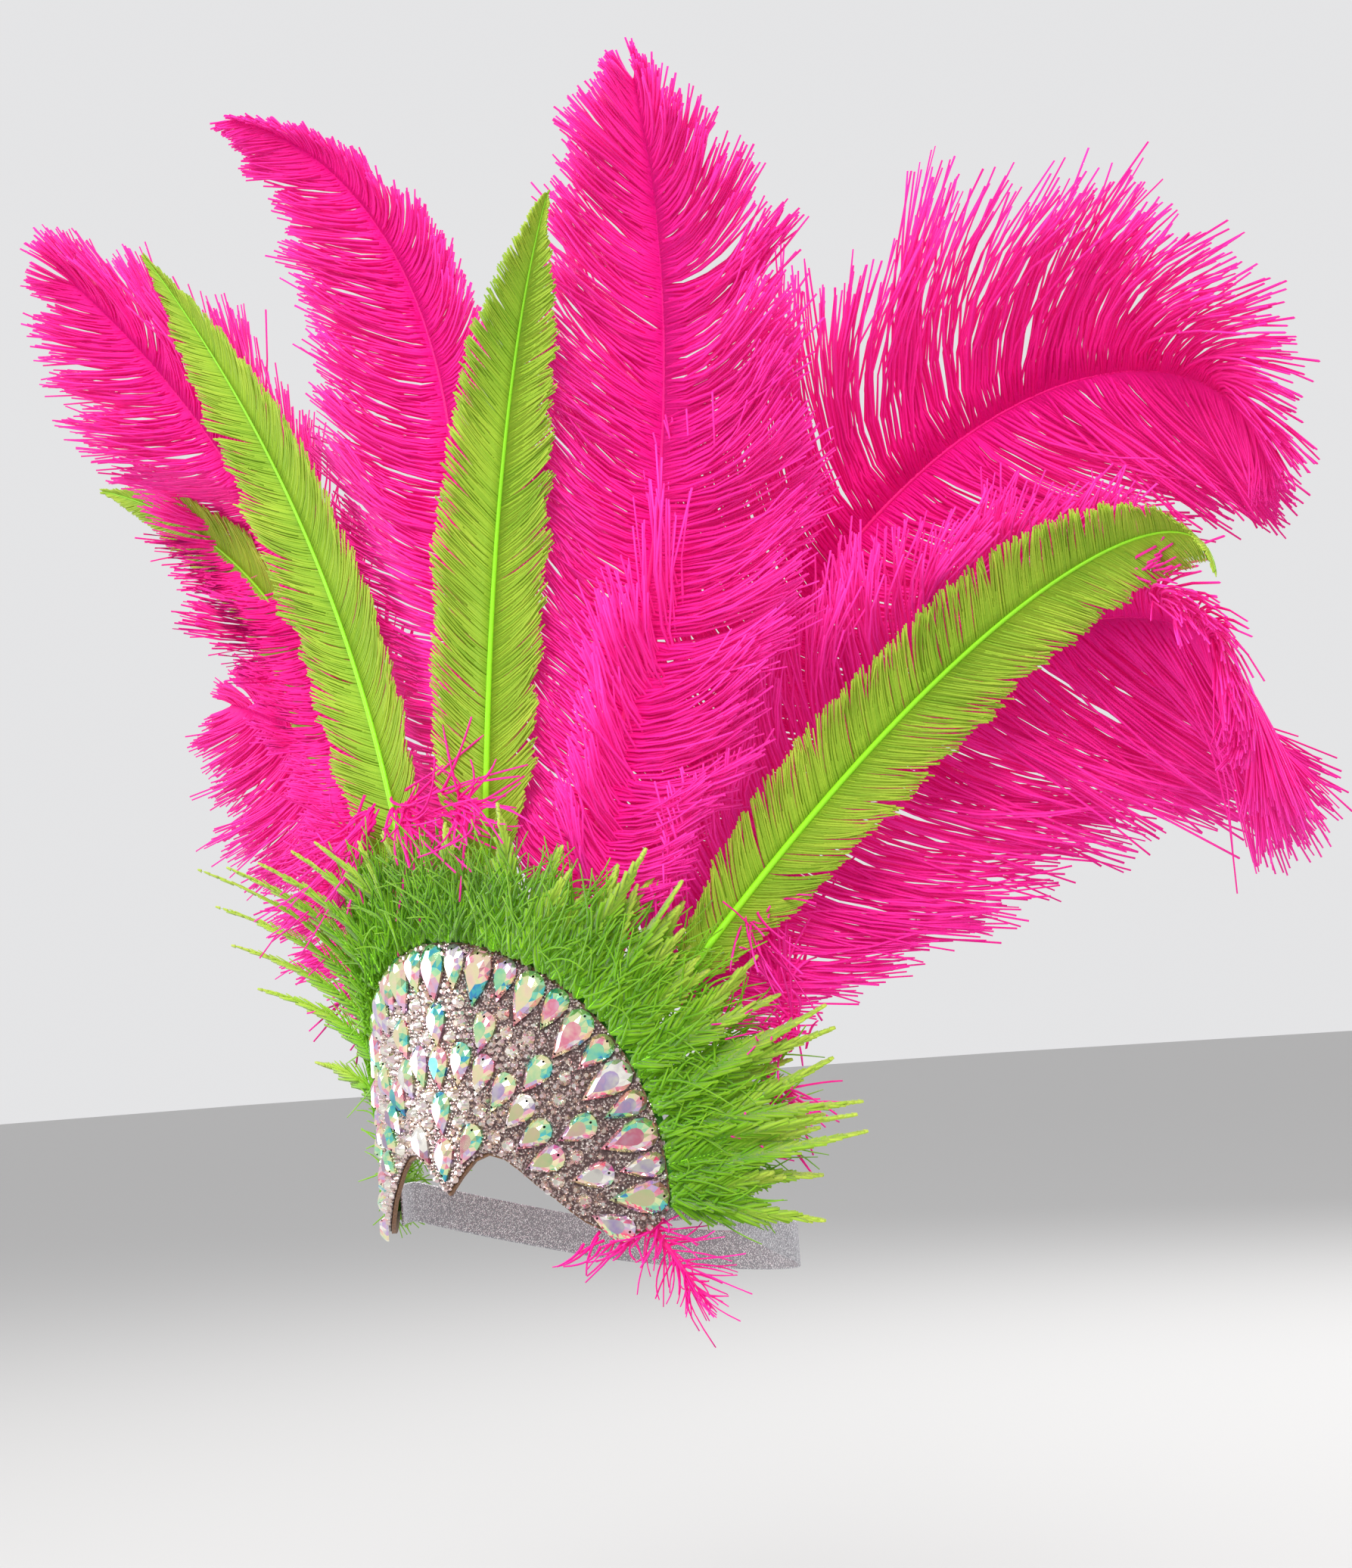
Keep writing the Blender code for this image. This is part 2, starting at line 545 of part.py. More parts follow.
def stem_line(feather, steps=96):
    """Stem of a feather: straight off the plate at its foot, then turning in one plane to the way of
    its tip; the turn grows with the place along the stem to the power bend."""
    length = KINDS[feather["kind"]]["length"] * feather["length"]
    height = -PLATE_WALL - 2 * TOUCH_GAP - COLLAR_ROOT_WALL - STEM_RADIUS
    if feather["kind"] == "tuft":
        height -= BAND_THICKNESS + TOUCH_GAP
    across, up = fan_place(feather["foot"], FAN_SIDE_REACH - FOOT_INSET)
    foot = wrap(across, up, height)
    turn = across / PLATE_RADIUS
    lean, tilt = np.radians(feather["lean"]), np.radians(feather["tilt"])
    tangent = np.array([np.cos(turn), np.sin(turn), 0.0])
    outward = np.array([np.sin(turn), -np.cos(turn), 0.0])
    first = np.cos(tilt) * (np.sin(lean) * tangent + np.cos(lean) * np.array([0.0, 0.0, 1.0]))
    first -= np.sin(tilt) * outward
    last = heading(feather["tip_heading"], feather["tip_rise"])
    whole = np.arccos(first @ last)
    part = (((np.arange(steps) + 0.5) / steps) ** feather["bend"])[:, None]
    way = (np.sin((1 - part) * whole) * first + np.sin(part * whole) * last) / np.sin(whole)
    line = foot + np.concatenate([np.zeros((1, 3)), np.cumsum(way * length / steps, axis=0)])
    binormal = np.cross(first, last)
    return line, binormal / np.linalg.norm(binormal)


def stem_frame(feather, place):
    """Points of the stem at the given places (0 to 1), with its tangent, vane side and vane face."""
    line, binormal = stem_line(feather)
    at = np.linspace(0, 1, len(line))
    point = np.stack([np.interp(place, at, line[:, k]) for k in range(3)], axis=1)
    tangent = np.gradient(line, axis=0)
    tangent = np.stack([np.interp(place, at, tangent[:, k]) for k in range(3)], axis=1)
    tangent /= np.linalg.norm(tangent, axis=1)[:, None]
    inward = np.cross(binormal, tangent)
    inward /= np.linalg.norm(inward, axis=1)[:, None]
    level = np.cross(tangent, inward)
    middle = np.argmin(np.abs(place - FACE_SHARE))
    wish = heading(feather["face"], 0)
    twist = np.arctan2(wish @ level[middle], wish @ inward[middle])
    face = np.cos(twist) * inward + np.sin(twist) * level
    side = np.cross(tangent, face)
    return point, tangent, side, face


def feather_shape(feather):
    """Closed outer form of one feather: a stem that widens into a vane with notched locks.
    A barb point is stem + length * (cos(angle) tangent + sin(angle) side) * share, pulled
    forwards by the curl and down by the droop with the square of the share."""
    kind = KINDS[feather["kind"]]
    rows, half = kind["rows"], kind["half_columns"]
    place = np.concatenate([
        np.linspace(0, VANE_START_SHARE, STEM_ROWS + 1)[:-1],
        np.linspace(VANE_START_SHARE, 1, rows),
    ])
    point, tangent, side, face = stem_frame(feather, place)
    vane = np.clip((place - VANE_START_SHARE) / (1 - VANE_START_SHARE), 0, 1)
    is_vane = place >= VANE_START_SHARE
    outline = np.interp(vane, *np.array(VANE_OUTLINE[feather["kind"]]).T)
    notch = np.where((np.arange(len(place)) - STEM_ROWS) % 2, 1.0, LOCK_NOTCH_SHARE)
    barb = np.where(is_vane, kind["barb"] * feather["barb"] * outline * notch, STEM_RADIUS)
    angle = np.where(is_vane, np.interp(vane, *np.array(BARB_ANGLE[feather["kind"]]).T), 90.0)
    angle = np.radians(angle)
    share = np.linspace(-1, 1, 2 * half + 1)
    thickness = np.where(is_vane, 0.5 * kind["wall"], STEM_RADIUS)
    rim = np.where(is_vane, VANE_EDGE_SHARE, STEM_EDGE_SHARE)
    front, back = [], []
    for u in share:
        way = np.cos(angle)[:, None] * tangent + np.sign(u) * np.sin(angle)[:, None] * side
        spread = (barb * abs(u))[:, None] * way
        pull = (np.where(is_vane, barb, 0.0) * u * u)[:, None]
        spread = spread + CURL_SHARE * pull * face - feather["droop"] * pull * (0, 0, 1)
        wall = thickness * (1 - (1 - rim) * u * u)
        front.append(point + spread + wall[:, None] * face)
        back.append(point + spread - wall[:, None] * face)
    rings = front + back[::-1]
    vertices = np.concatenate(rings)
    count, total = len(place), len(rings)
    faces = []
    for k in range(total):
        a, b = k * count, (k + 1) % total * count
        faces += [(a + j, a + j + 1, b + j + 1, b + j) for j in range(count - 1)]
    for end in (0, count - 1):
        for k in range(total // 2 - 1):
            far = total - 1 - k
            faces.append((k * count + end, (k + 1) * count + end, (far - 1) * count + end, far * count + end))
    return vertices, faces


def build():
    """Make every piece of the headdress."""
    clear_scene()
    materials = {name: make_material(name) for name in MATERIALS}
    plate_shell("crown_plate", -PLATE_WALL, 0.0, 0.0, materials["leatherette"])
    stone_bed(materials)
    rim_drops(materials)
    elastic_band(materials)
    hackle_collar(materials)
    for row in FEATHERS:
        feather = dict(zip(FEATHER_COLUMNS, row))
        slot = "green_quill" if feather["kind"] == "quill" else "pink_plume"
        add_object(feather["name"], *feather_shape(feather), materials[slot])


build()
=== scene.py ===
"""Looks of the carnival feather headdress: loose barbs, hackles, faceted stones and elastic.

Metres, +Z up, the wearer looks along -Y. Every feather follows the same stem as its solid, and its
barbs are drawn from that stem, so plumes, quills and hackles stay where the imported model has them.
"""

import bpy
import numpy as np
from mathutils import Matrix


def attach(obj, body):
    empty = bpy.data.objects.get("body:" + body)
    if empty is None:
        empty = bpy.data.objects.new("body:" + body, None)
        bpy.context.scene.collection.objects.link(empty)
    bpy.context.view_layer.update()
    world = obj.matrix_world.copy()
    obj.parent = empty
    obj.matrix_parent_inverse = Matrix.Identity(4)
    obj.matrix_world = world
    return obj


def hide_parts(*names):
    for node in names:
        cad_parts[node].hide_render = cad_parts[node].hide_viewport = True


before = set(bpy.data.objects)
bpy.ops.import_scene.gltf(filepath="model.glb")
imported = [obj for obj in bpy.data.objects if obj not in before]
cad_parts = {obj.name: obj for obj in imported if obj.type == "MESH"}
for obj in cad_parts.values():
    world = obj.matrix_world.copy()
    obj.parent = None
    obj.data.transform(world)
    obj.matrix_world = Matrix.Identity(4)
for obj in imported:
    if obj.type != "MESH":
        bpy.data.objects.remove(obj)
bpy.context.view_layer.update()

# Place and lens of the photograph's camera, and its frame in pixels
CAMERA_PLACE = (0.89995, -0.89856, 0.07648)
CAMERA_RIGHT = (0.72460, 0.68567, -0.06937)
CAMERA_UP = (0.12213, -0.02869, 0.99210)
FOCAL_PIXELS = 3333.3
FRAME_HEIGHT_PIXELS = 2072
SENSOR = 36.0
FLOOR_Z = -0.42
FLOOR_REACH = 40.0

# Crown plate and what lies on it, as in the solids
TOUCH_GAP = 0.0003
PLATE_RADIUS = 0.119
PLATE_WALL = 0.002
HEAD_HALF_WIDTH = 0.078
HEAD_HALF_LENGTH = 0.102
FOREHEAD_GAP = 0.004
CYLINDER_Y = PLATE_RADIUS - PLATE_WALL - HEAD_HALF_LENGTH - FOREHEAD_GAP
FAN_BASE_Z = 0.011
FAN_TOP_REACH = 0.1235
FAN_SIDE_REACH = 0.1115
CORNER_RADIUS = 0.016
BROW_EDGE = (
    (0.00, 0.045), (0.08, 0.120), (0.17, 0.190), (0.26, 0.205), (0.36, 0.150), (0.44, 0.080),
    (0.52, 0.020), (0.60, -0.050), (0.67, -0.100), (0.75, -0.132),
)
BED_WALL = 0.0009
BED_MARGIN = 0.0012

# Drop stones: (length, height) of the large, small and bed ones
STONE_SINK = 0.0004
STONE_GAP = 0.0003
LARGE_DROP = (0.0275, 0.0048)
SMALL_DROP = (0.0215, 0.0042)
BED_DROP = (0.0205, 0.0042)
BED_DROP_WIDTH = 0.0122
LARGE_TO_SMALL_WIDTH = 1.26
DROP_ROUND_START = 1.15
DROP_TAPER = 0.9
DROP_SIDES = 16
PEAR_TAPER = 1.3
HOLE_RADIUS = 0.0006
HOLE_FROM_END = 0.0024
RIM_DROP_PAIRS = 13
RIM_MARGIN = 0.0005
RIM_ROW_INSET = 0.0125
RIM_ROW_END = 90.0
CORNER_DROP = (97.5, 116.0, 0.768)
# Drops of the bed (angle from the top in degrees, share of the fan's reach there)
BED_DROPS = (
    (0, 0.178), (0, 0.352), (0, 0.524), (0, 0.690), (30, 0.272),
    (11.8, 0.548), (23.2, 0.537), (34.8, 0.522), (46.6, 0.515), (58.8, 0.515), (71, 0.520),
    (19.5, 0.690), (42.4, 0.670), (65.7, 0.688), (81.9, 0.698),
)
ROUND_PAIRS = 18
ROUND_DIAMETER = 0.0072
ROUND_SIDES = 12

# Elastic band
BAND_WIDTH = 0.020
BAND_THICKNESS = 0.0012
BAND_LAP = 0.024
BAND_LAP_END = 0.004
BAND_SHOULDER = 0.010
BAND_TURN_IN = (0.06, 0.22)
BAND_END_Z = 0.009
BAND_BACK_DROP = 0.040
BAND_DROP_START = 0.14
BAND_HEAD_TURNS = (22, 34, 46, 58, 70, 80, 90)
BAND_RIBS = 11
BAND_STEPS = 120

# Collar of hackles
COLLAR_ROOT_WALL = 0.0025
COLLAR_ROOT_REACH = 0.100
COLLAR_HALF_ANGLE = 93.0
COLLAR_LENGTH = 0.062
# Length of the hackles around the fan (angle from the top, share of COLLAR_LENGTH)
COLLAR_REACH = (
    (-93, 0.70), (-80, 1.00), (-58, 1.50), (-32, 1.30), (0, 0.85), (30, 0.95), (55, 1.20), (80, 1.30),
    (93, 0.75),
)
HACKLES = 92
HACKLE_BARBS = 34
HACKLE_BARB = 0.0125
HACKLE_BARB_RADIUS = 0.0015
HACKLE_ROOT_HEIGHT = -0.0012
HACKLE_LAYER = 0.0075
# Hackles stray round the arc, lean sideways and twist by these spreads, and stand out at most so far
HACKLE_SHARES = (0.62, 1.05)
HACKLE_STRAY = 1.2
HACKLE_LEAN = 11
HACKLE_TWIST = 0.5
HACKLE_MOST_OUT = 12
# Length share and angle of a hackle's barbs along its stem, and how far they stray and lift
HACKLE_OUTLINE = ((0, 0.8), (0.35, 1.0), (0.7, 0.62), (0.9, 0.34), (1.0, 0.15))
HACKLE_BARB_ANGLE = ((0, 48), (0.5, 20), (1.0, 6))
HACKLE_BARB_STRAY = 0.07
HACKLE_BARB_LIFT = 0.12
HACKLE_BARB_SWEEP = 0.35
HACKLE_STEM = (0.0005, 0.0001)
FLUFF_BARBS = 2900
FLUFF_LENGTHS = (0.012, 0.026)
FLUFF_HEIGHTS = (-0.003, 0.0085)
FLUFF_RADIUS = 0.0007
FLUFF_SPREAD = 0.55
FLUFF_CURL = 0.30
WISP_RADIUS = 0.0009
WISP_TURN = 38
WISP_POINTS = 10

# Feather stems
FOOT_REACH = 0.098
STEM_RADIUS = 0.0021
VANE_START = 0.13
FACE_PLACE = 0.4
# Plume barbs pass behind a quill, seen from the camera: from this share of its stem on, this far
# behind it, within its half width and a margin over which they come forward again, moved at most so far
QUILL_CLEAR_FROM = 0.26
QUILL_GAP = 0.004
QUILL_HALF_WIDTH = 0.024
QUILL_MARGIN = 0.014
MOST_PUSH = 0.085
# The last columns: shares of the barbs' length left and right of the stem, seen from the face, and how
# much of it is lost towards the tip
FEATHER_COLUMNS = (
    "name", "kind", "foot", "lean", "tilt", "tip_heading", "tip_rise", "bend", "length", "barb", "face",
    "droop", "left", "right", "taper",
)
FEATHERS = (
    ("plume_centre", "plume", 2, 2, 5, -18, 6, 4.0, 1.000, 1.00, 22, 0.12, 0.95, 0.60, 0.50),
    ("plume_left_1", "plume", 31, 23, 6.5, 31, 47, 1.3, 0.940, 0.94, 22, 0.10, 1.00, 1.12, 0.22),
    ("plume_left_2", "plume", 46, 28, 7, 60, -57, 2.9, 1.100, 1.15, 60, 0.10, 1.22, 0.95, 0.0),
    ("plume_left_3", "plume", 70, 32, 8, 28, -56, 2.0, 1.010, 1.10, 66, 0.12, 1.00, 1.15, 0.0),
    ("plume_right_1", "plume", -31, -22, 3, -35, 45, 1.55, 1.000, 1.00, 0, 0.12, 0.62, 0.75, -0.55),
    ("plume_right_2", "plume", -58, -32, 8, -102, 16, 0.8, 0.945, 0.95, -16, 0.12, 1.10, 0.85, 0.1),
    ("plume_right_3", "plume", -74, -38, 8, -130, -45, 1.8, 0.900, 1.00, -40, 0.12, 0.90, 0.90, 0.0),
    ("quill_left_1", "quill", 14, 3, 2, 59, 21, 1.8, 0.915, 1.00, 28, 0.0, 1.0, 1.0, 0.0),
    ("quill_left_2", "quill", 59, 40, 2, 32, -35, 1.9, 1.120, 1.00, 48, 0.0, 1.0, 1.0, 0.0),
    ("quill_right_1", "quill", -14, -12, 4, -54, 57, 1.1, 0.995, 1.00, 6, 0.0, 1.0, 1.0, 0.0),
    ("quill_right_2", "quill", -47, -18, 2, -83, 19, 1.35, 1.095, 1.00, -12, 0.0, 1.0, 1.0, 0.0),
    ("temple_tuft", "tuft", 94, 145, 5, 95, -52, 1.0, 1.0, 1.0, 50, 0.0, 1.0, 1.0, 0.0),
)
# Each kind of feather: lengths of stem and barbs, barbs on each side and their radius; in degrees how
# far barbs stray in the vane and out of it; raggedness; curl forwards and bow off the stem; locks on
# each side and how closely a lock's barbs gather at their tips; depth of a barb's section against its
# width, and the steps along it
KIND_COLUMNS = (
    "length", "barb", "barbs", "radius", "stray", "spread", "ragged", "curl", "bow", "locks", "gather",
    "flat", "steps",
)
KINDS = {
    "plume": (0.465, 0.088, 940, 0.00088, 4.5, 7.5, 0.08, 0.18, 0.50, 50, 0.45, 0.8, 5),
    "quill": (0.430, 0.0350, 540, 0.00085, 1.4, 0.8, 0.045, 0.18, 0.20, 20, 0.16, 0.35, 5),
    "tuft": (0.048, 0.026, 34, 0.00060, 24.0, 20.0, 0.30, 0.10, 0.25, 9, 0.50, 0.8, 7),
}
# How much of a barb's randomness is its lock's and how much its own, and where the sum is cut off
LOCK_SHARE = 0.30
OWN_SHARE = 0.50
MOST_MIXED = 1.8
VANE_OUTLINE = {
    "plume": (
        (0.0, 0.50), (0.12, 0.72), (0.30, 0.98), (0.50, 1.04), (0.75, 0.92), (0.90, 0.62), (1.0, 0.30),
    ),
    "quill": ((0.0, 0.45), (0.08, 0.80), (0.25, 1.0), (0.60, 0.95), (0.80, 0.66), (0.94, 0.30), (1.0, 0.10)),
    "tuft": ((0.0, 0.60), (0.30, 0.90), (0.70, 0.8), (1.0, 0.40)),
}
BARB_ANGLE = {
    "plume": ((0.0, 62), (0.5, 52), (0.85, 36), (1.0, 16)),
    "quill": ((0.0, 50), (0.5, 46), (0.85, 34), (1.0, 14)),
    "tuft": ((0.0, 50), (1.0, 18)),
}
# Loose pink wisps over the collar and under the plate: angle, reach and height of a bunch's root, its
# strands, their length, and the way that they point (0 outwards from the fan, 180 inwards)
WISPS = (
    (-48, 0.188, 0.006, 26, 0.052, -130), (-36, 0.200, 0.006, 36, 0.056, -165),
    (-24, 0.196, 0.006, 44, 0.056, 160), (-13, 0.192, 0.006, 44, 0.054, -120),
    (-3, 0.188, 0.006, 44, 0.052, 150), (7, 0.186, 0.006, 36, 0.050, 100),
    (54, 0.205, 0.006, 26, 0.050, -120), (62, 0.196, 0.006, 36, 0.052, -70),
    (69, 0.186, 0.006, 36, 0.046, -100), (76, 0.170, 0.006, 22, 0.036, 70),
    (84, 0.150, 0.006, 12, 0.030, -60), (97, 0.107, -0.005, 9, 0.028, 75),
    (100, 0.094, -0.005, 9, 0.028, 95), (104, 0.080, -0.005, 7, 0.024, 115),
)
# Long hackles that stand off the collar: angle, length, and degrees outwards and sideways
LONG_HACKLES = (
    (-34, 0.098, 46, 4), (-40, 0.088, 50, 8), (-28, 0.084, 42, -2), (-46, 0.078, 52, 10),
    (-22, 0.072, 38, -6), (-52, 0.062, 54, 12), (-64, 0.046, 44, 6), (-16, 0.066, 34, -8),
    (-10, 0.062, 30, -12), (86, 0.088, 22, -6), (79, 0.084, 26, 4),
    (20, 0.070, 24, -6), (34, 0.076, 20, 8), (44, 0.072, 16, -4), (92, 0.066, 18, 8),
)


def unit(rows):
    """Each row divided by its length."""
    return rows / np.linalg.norm(rows, axis=-1, keepdims=True)


def smooth_curve(x, table):
    """Catmull-Rom curve through the rows (x, y) of a table, read at x."""
    xs, ys = np.array(table, float).T
    slope = np.gradient(ys, xs)
    x = np.clip(x, xs[0], xs[-1])
    i = np.clip(np.searchsorted(xs, x) - 1, 0, len(xs) - 2)
    step = xs[i + 1] - xs[i]
    t = (x - xs[i]) / step
    start = (2 * t**3 - 3 * t**2 + 1) * ys[i] + (t**3 - 2 * t**2 + t) * step * slope[i]
    return start + (3 * t**2 - 2 * t**3) * ys[i + 1] + (t**3 - t**2) * step * slope[i + 1]


def wrap(across, up, height=0.0):
    """Roll flat pattern places onto the plate's front face, height outwards from that face."""
    turn = np.asarray(across) / PLATE_RADIUS
    radius = PLATE_RADIUS + height
    return np.stack([radius * np.sin(turn), CYLINDER_Y - radius * np.cos(turn), up + 0 * turn], axis=-1)


def fan_reach(angle):
    """Reach of the fan's arc from its centre, from the top reach down to the side reach."""
    share = np.sin(np.radians(np.clip(np.abs(angle), 0, 90))) ** 2
    return FAN_TOP_REACH + (FAN_SIDE_REACH - FAN_TOP_REACH) * share


def fan_place(angle, reach):
    """Flat pattern place (across, up) at an angle from the top and a reach from the fan's centre."""
    turn = np.radians(angle)
    return reach * np.sin(turn), FAN_BASE_Z + reach * np.cos(turn)


def fan_top(across):
    """Upper edge of the fan's pattern over a place across."""
    angles = np.linspace(0, 90, 181)
    side, up = fan_place(angles, fan_reach(angles))
    return np.interp(np.abs(across), side, up)


def fan_bottom(across):
    """Lower edge of the pattern: the brow curve, then a rounded corner at the plate's end."""
    corner = FAN_SIDE_REACH - CORNER_RADIUS
    brow = (*BROW_EDGE, (corner / FAN_SIDE_REACH, -CORNER_RADIUS / FAN_SIDE_REACH))
    side = np.abs(across)
    edge = FAN_BASE_Z + FAN_SIDE_REACH * smooth_curve(side / FAN_SIDE_REACH, brow)
    over = np.clip(side - corner, 0, CORNER_RADIUS)
    round_end = FAN_BASE_Z - np.sqrt(np.maximum(CORNER_RADIUS**2 - over**2, 0))
    return np.where(side > corner, round_end, edge)


def fan_frame(angle, reach, height):
    """Places on the rolled fan with the radial way, the sideways way and the face's normal there."""
    across, up = fan_place(angle, reach)
    turn = across / PLATE_RADIUS
    tilt = np.radians(angle)[..., None]
    tangent = np.stack([np.cos(turn), np.sin(turn), 0 * turn], axis=-1)
    outward = np.stack([np.sin(turn), -np.cos(turn), 0 * turn], axis=-1)
    rise = np.array([0.0, 0.0, 1.0])
    radial = np.sin(tilt) * tangent + np.cos(tilt) * rise
    sideways = np.cos(tilt) * tangent - np.sin(tilt) * rise
    return wrap(across, up, height), radial, sideways, outward


# Meshes

def add_piece(name, vertices, faces, material, smooth=True, attributes=(), uvs=None):
    """Mesh object from points and lists of equal-sided faces; attributes are (name, domain, values)."""
    mesh = bpy.data.meshes.new(name)
    corners = np.concatenate([np.asarray(block).ravel() for block in faces]).astype(np.int32)
    sizes = np.concatenate([np.full(len(block), np.shape(block)[1]) for block in faces])
    starts = np.concatenate([[0], np.cumsum(sizes)[:-1]]).astype(np.int32)
    mesh.vertices.add(len(vertices))
    mesh.loops.add(len(corners))
    mesh.polygons.add(len(sizes))
    mesh.vertices.foreach_set("co", np.asarray(vertices, np.float32).ravel())
    mesh.loops.foreach_set("vertex_index", corners)
    mesh.polygons.foreach_set("loop_start", starts)
    mesh.polygons.foreach_set("use_smooth", np.full(len(sizes), smooth))
    for label, domain, values in attributes:
        layer = mesh.attributes.new(label, "FLOAT", domain)
        layer.data.foreach_set("value", np.asarray(values, np.float32))
    if uvs is not None:
        layer = mesh.uv_layers.new(name="UVMap")
        layer.data.foreach_set("uv", np.asarray(uvs, np.float32)[corners].ravel())
    mesh.update(calc_edges=True)
    mesh.validate()
    mesh.materials.append(material)
    piece = bpy.data.objects.new(name, mesh)
    bpy.context.scene.collection.objects.link(piece)
    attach(piece, "root")
    return piece


def tubes(lines, radius, reference, flat=1.0, sides=3):
    """Closed tubes around many lines at once. A ring point is line + radius (cos a across + flat sin a
    out), with out square to the line and across; lines is (tubes, points, 3), radius (tubes, points)."""
    count, points = lines.shape[:2]
    way = unit(np.gradient(lines, axis=1))
    across = unit(np.cross(reference, way))
    out = np.cross(way, across)
    turn = 2 * np.pi * np.arange(sides) / sides
    ring = np.cos(turn)[:, None] * across[:, :, None] + flat * np.sin(turn)[:, None] * out[:, :, None]
    vertices = (lines[:, :, None] + radius[:, :, None, None] * ring).reshape(-1, 3)
    index = np.arange(count * points * sides).reshape(count, points, sides)
    after = np.roll(index, -1, axis=2)
    quads = np.stack([index[:, :-1], after[:, :-1], after[:, 1:], index[:, 1:]], axis=-1).reshape(-1, 4)
    caps = np.concatenate([index[:, 0, ::-1], index[:, -1]])
    return vertices, [quads, caps]


def closed_grid(grid):
    """Faces of a tube whose section runs along the first side of the grid, with a cap at each end."""
    index = np.arange(grid.shape[0] * grid.shape[1]).reshape(grid.shape[:2])
    after = np.roll(index, -1, axis=0)
    quads = np.stack([index[:, :-1], index[:, 1:], after[:, 1:], after[:, :-1]], axis=-1).reshape(-1, 4)
    return [quads, np.stack([index[:, 0], index[::-1, -1]])]


def strand_piece(name, lines, radius, reference, lot, material, flat=1.0, sides=3):
    """Piece of many strands, with the attributes reach (0 root, 1 tip) and lot (one value a strand)."""
    vertices, faces = tubes(lines, radius, reference, flat, sides)
    count, points = lines.shape[:2]
    reach = np.broadcast_to(np.linspace(0, 1, points)[:, None], (count, points, sides))
    lots = np.broadcast_to(lot[:, None, None], (count, points, sides))
    attributes = [("reach", "POINT", reach.ravel()), ("lot", "POINT", lots.ravel())]
    return add_piece(name, vertices, faces, material, attributes=attributes)


# Feathers

def heading(azimuth, rise):
    """Unit way from an azimuth (0 ahead of the wearer, +90 to the left side) and a rise."""
    a, e = np.radians(azimuth), np.radians(rise)
    return np.array([np.sin(a) * np.cos(e), -np.cos(a) * np.cos(e), np.sin(e)])


def kind_of(feather):
    """Values of the feather's kind by their names."""
    return dict(zip(KIND_COLUMNS, KINDS[feather["kind"]]))


def stem_line(feather, steps=96):
    """Stem of a feather: straight off the plate at its foot, then turning in one plane to the way of
    its tip; the turn grows with the place along the stem to the power bend."""
    length = kind_of(feather)["length"] * feather["length"]
    height = -PLATE_WALL - 2 * TOUCH_GAP - COLLAR_ROOT_WALL - STEM_RADIUS
    if feather["kind"] == "tuft":
        height -= BAND_THICKNESS + TOUCH_GAP
    across, up = fan_place(feather["foot"], FOOT_REACH)
    foot = wrap(across, up, height)
    turn = across / PLATE_RADIUS
    lean, tilt = np.radians(feather["lean"]), np.radians(feather["tilt"])
    tangent = np.array([np.cos(turn), np.sin(turn), 0.0])
    outward = np.array([np.sin(turn), -np.cos(turn), 0.0])
    first = np.cos(tilt) * (np.sin(lean) * tangent + np.cos(lean) * np.array([0.0, 0.0, 1.0]))
    first -= np.sin(tilt) * outward
    last = heading(feather["tip_heading"], feather["tip_rise"])
    whole = np.arccos(first @ last)
    part = (((np.arange(steps) + 0.5) / steps) ** feather["bend"])[:, None]
    way = (np.sin((1 - part) * whole) * first + np.sin(part * whole) * last) / np.sin(whole)
    line = foot + np.concatenate([np.zeros((1, 3)), np.cumsum(way * length / steps, axis=0)])
    return line, unit(np.cross(first, last))


def stem_frame(feather, place):
    """Points of the stem at the given places (0 to 1), with its tangent, vane side and vane face."""
    line, binormal = stem_line(feather)
    at = np.linspace(0, 1, len(line))
    tangents = np.gradient(line, axis=0)
    point = np.stack([np.interp(place, at, line[:, k]) for k in range(3)], axis=1)
    tangent = unit(np.stack([np.interp(place, at, tangents[:, k]) for k in range(3)], axis=1))
    inward = unit(np.cross(binormal, tangent))
    level = np.cross(tangent, inward)
    middle = np.argmin(np.abs(place - FACE_PLACE))
    wish = heading(feather["face"], 0)
    twist = np.arctan2(wish @ level[middle], wish @ inward[middle])
    face = np.cos(twist) * inward + np.sin(twist) * level
    return point, tangent, np.cross(tangent, face), face


def waves(place, rng, cycles):
    """Smooth random curve between about -1 and 1: sines of a few cycles with random phases."""
    total = np.zeros_like(place)
    for k in cycles:
        total += np.sin(2 * np.pi * (k * place + rng.random())) / len(cycles)
    return total


def lock_of(vane, rng, locks):
    """Number of the lock that each place on the vane falls in, and how far along the vane the middle of
    that lock lies; slow waves make the locks uneven."""
    phase = vane * locks + 0.6 * waves(vane, rng, (5, 11))
    number = np.floor(phase)
    return (number + 2).astype(int), (number + 0.5 - phase) / locks


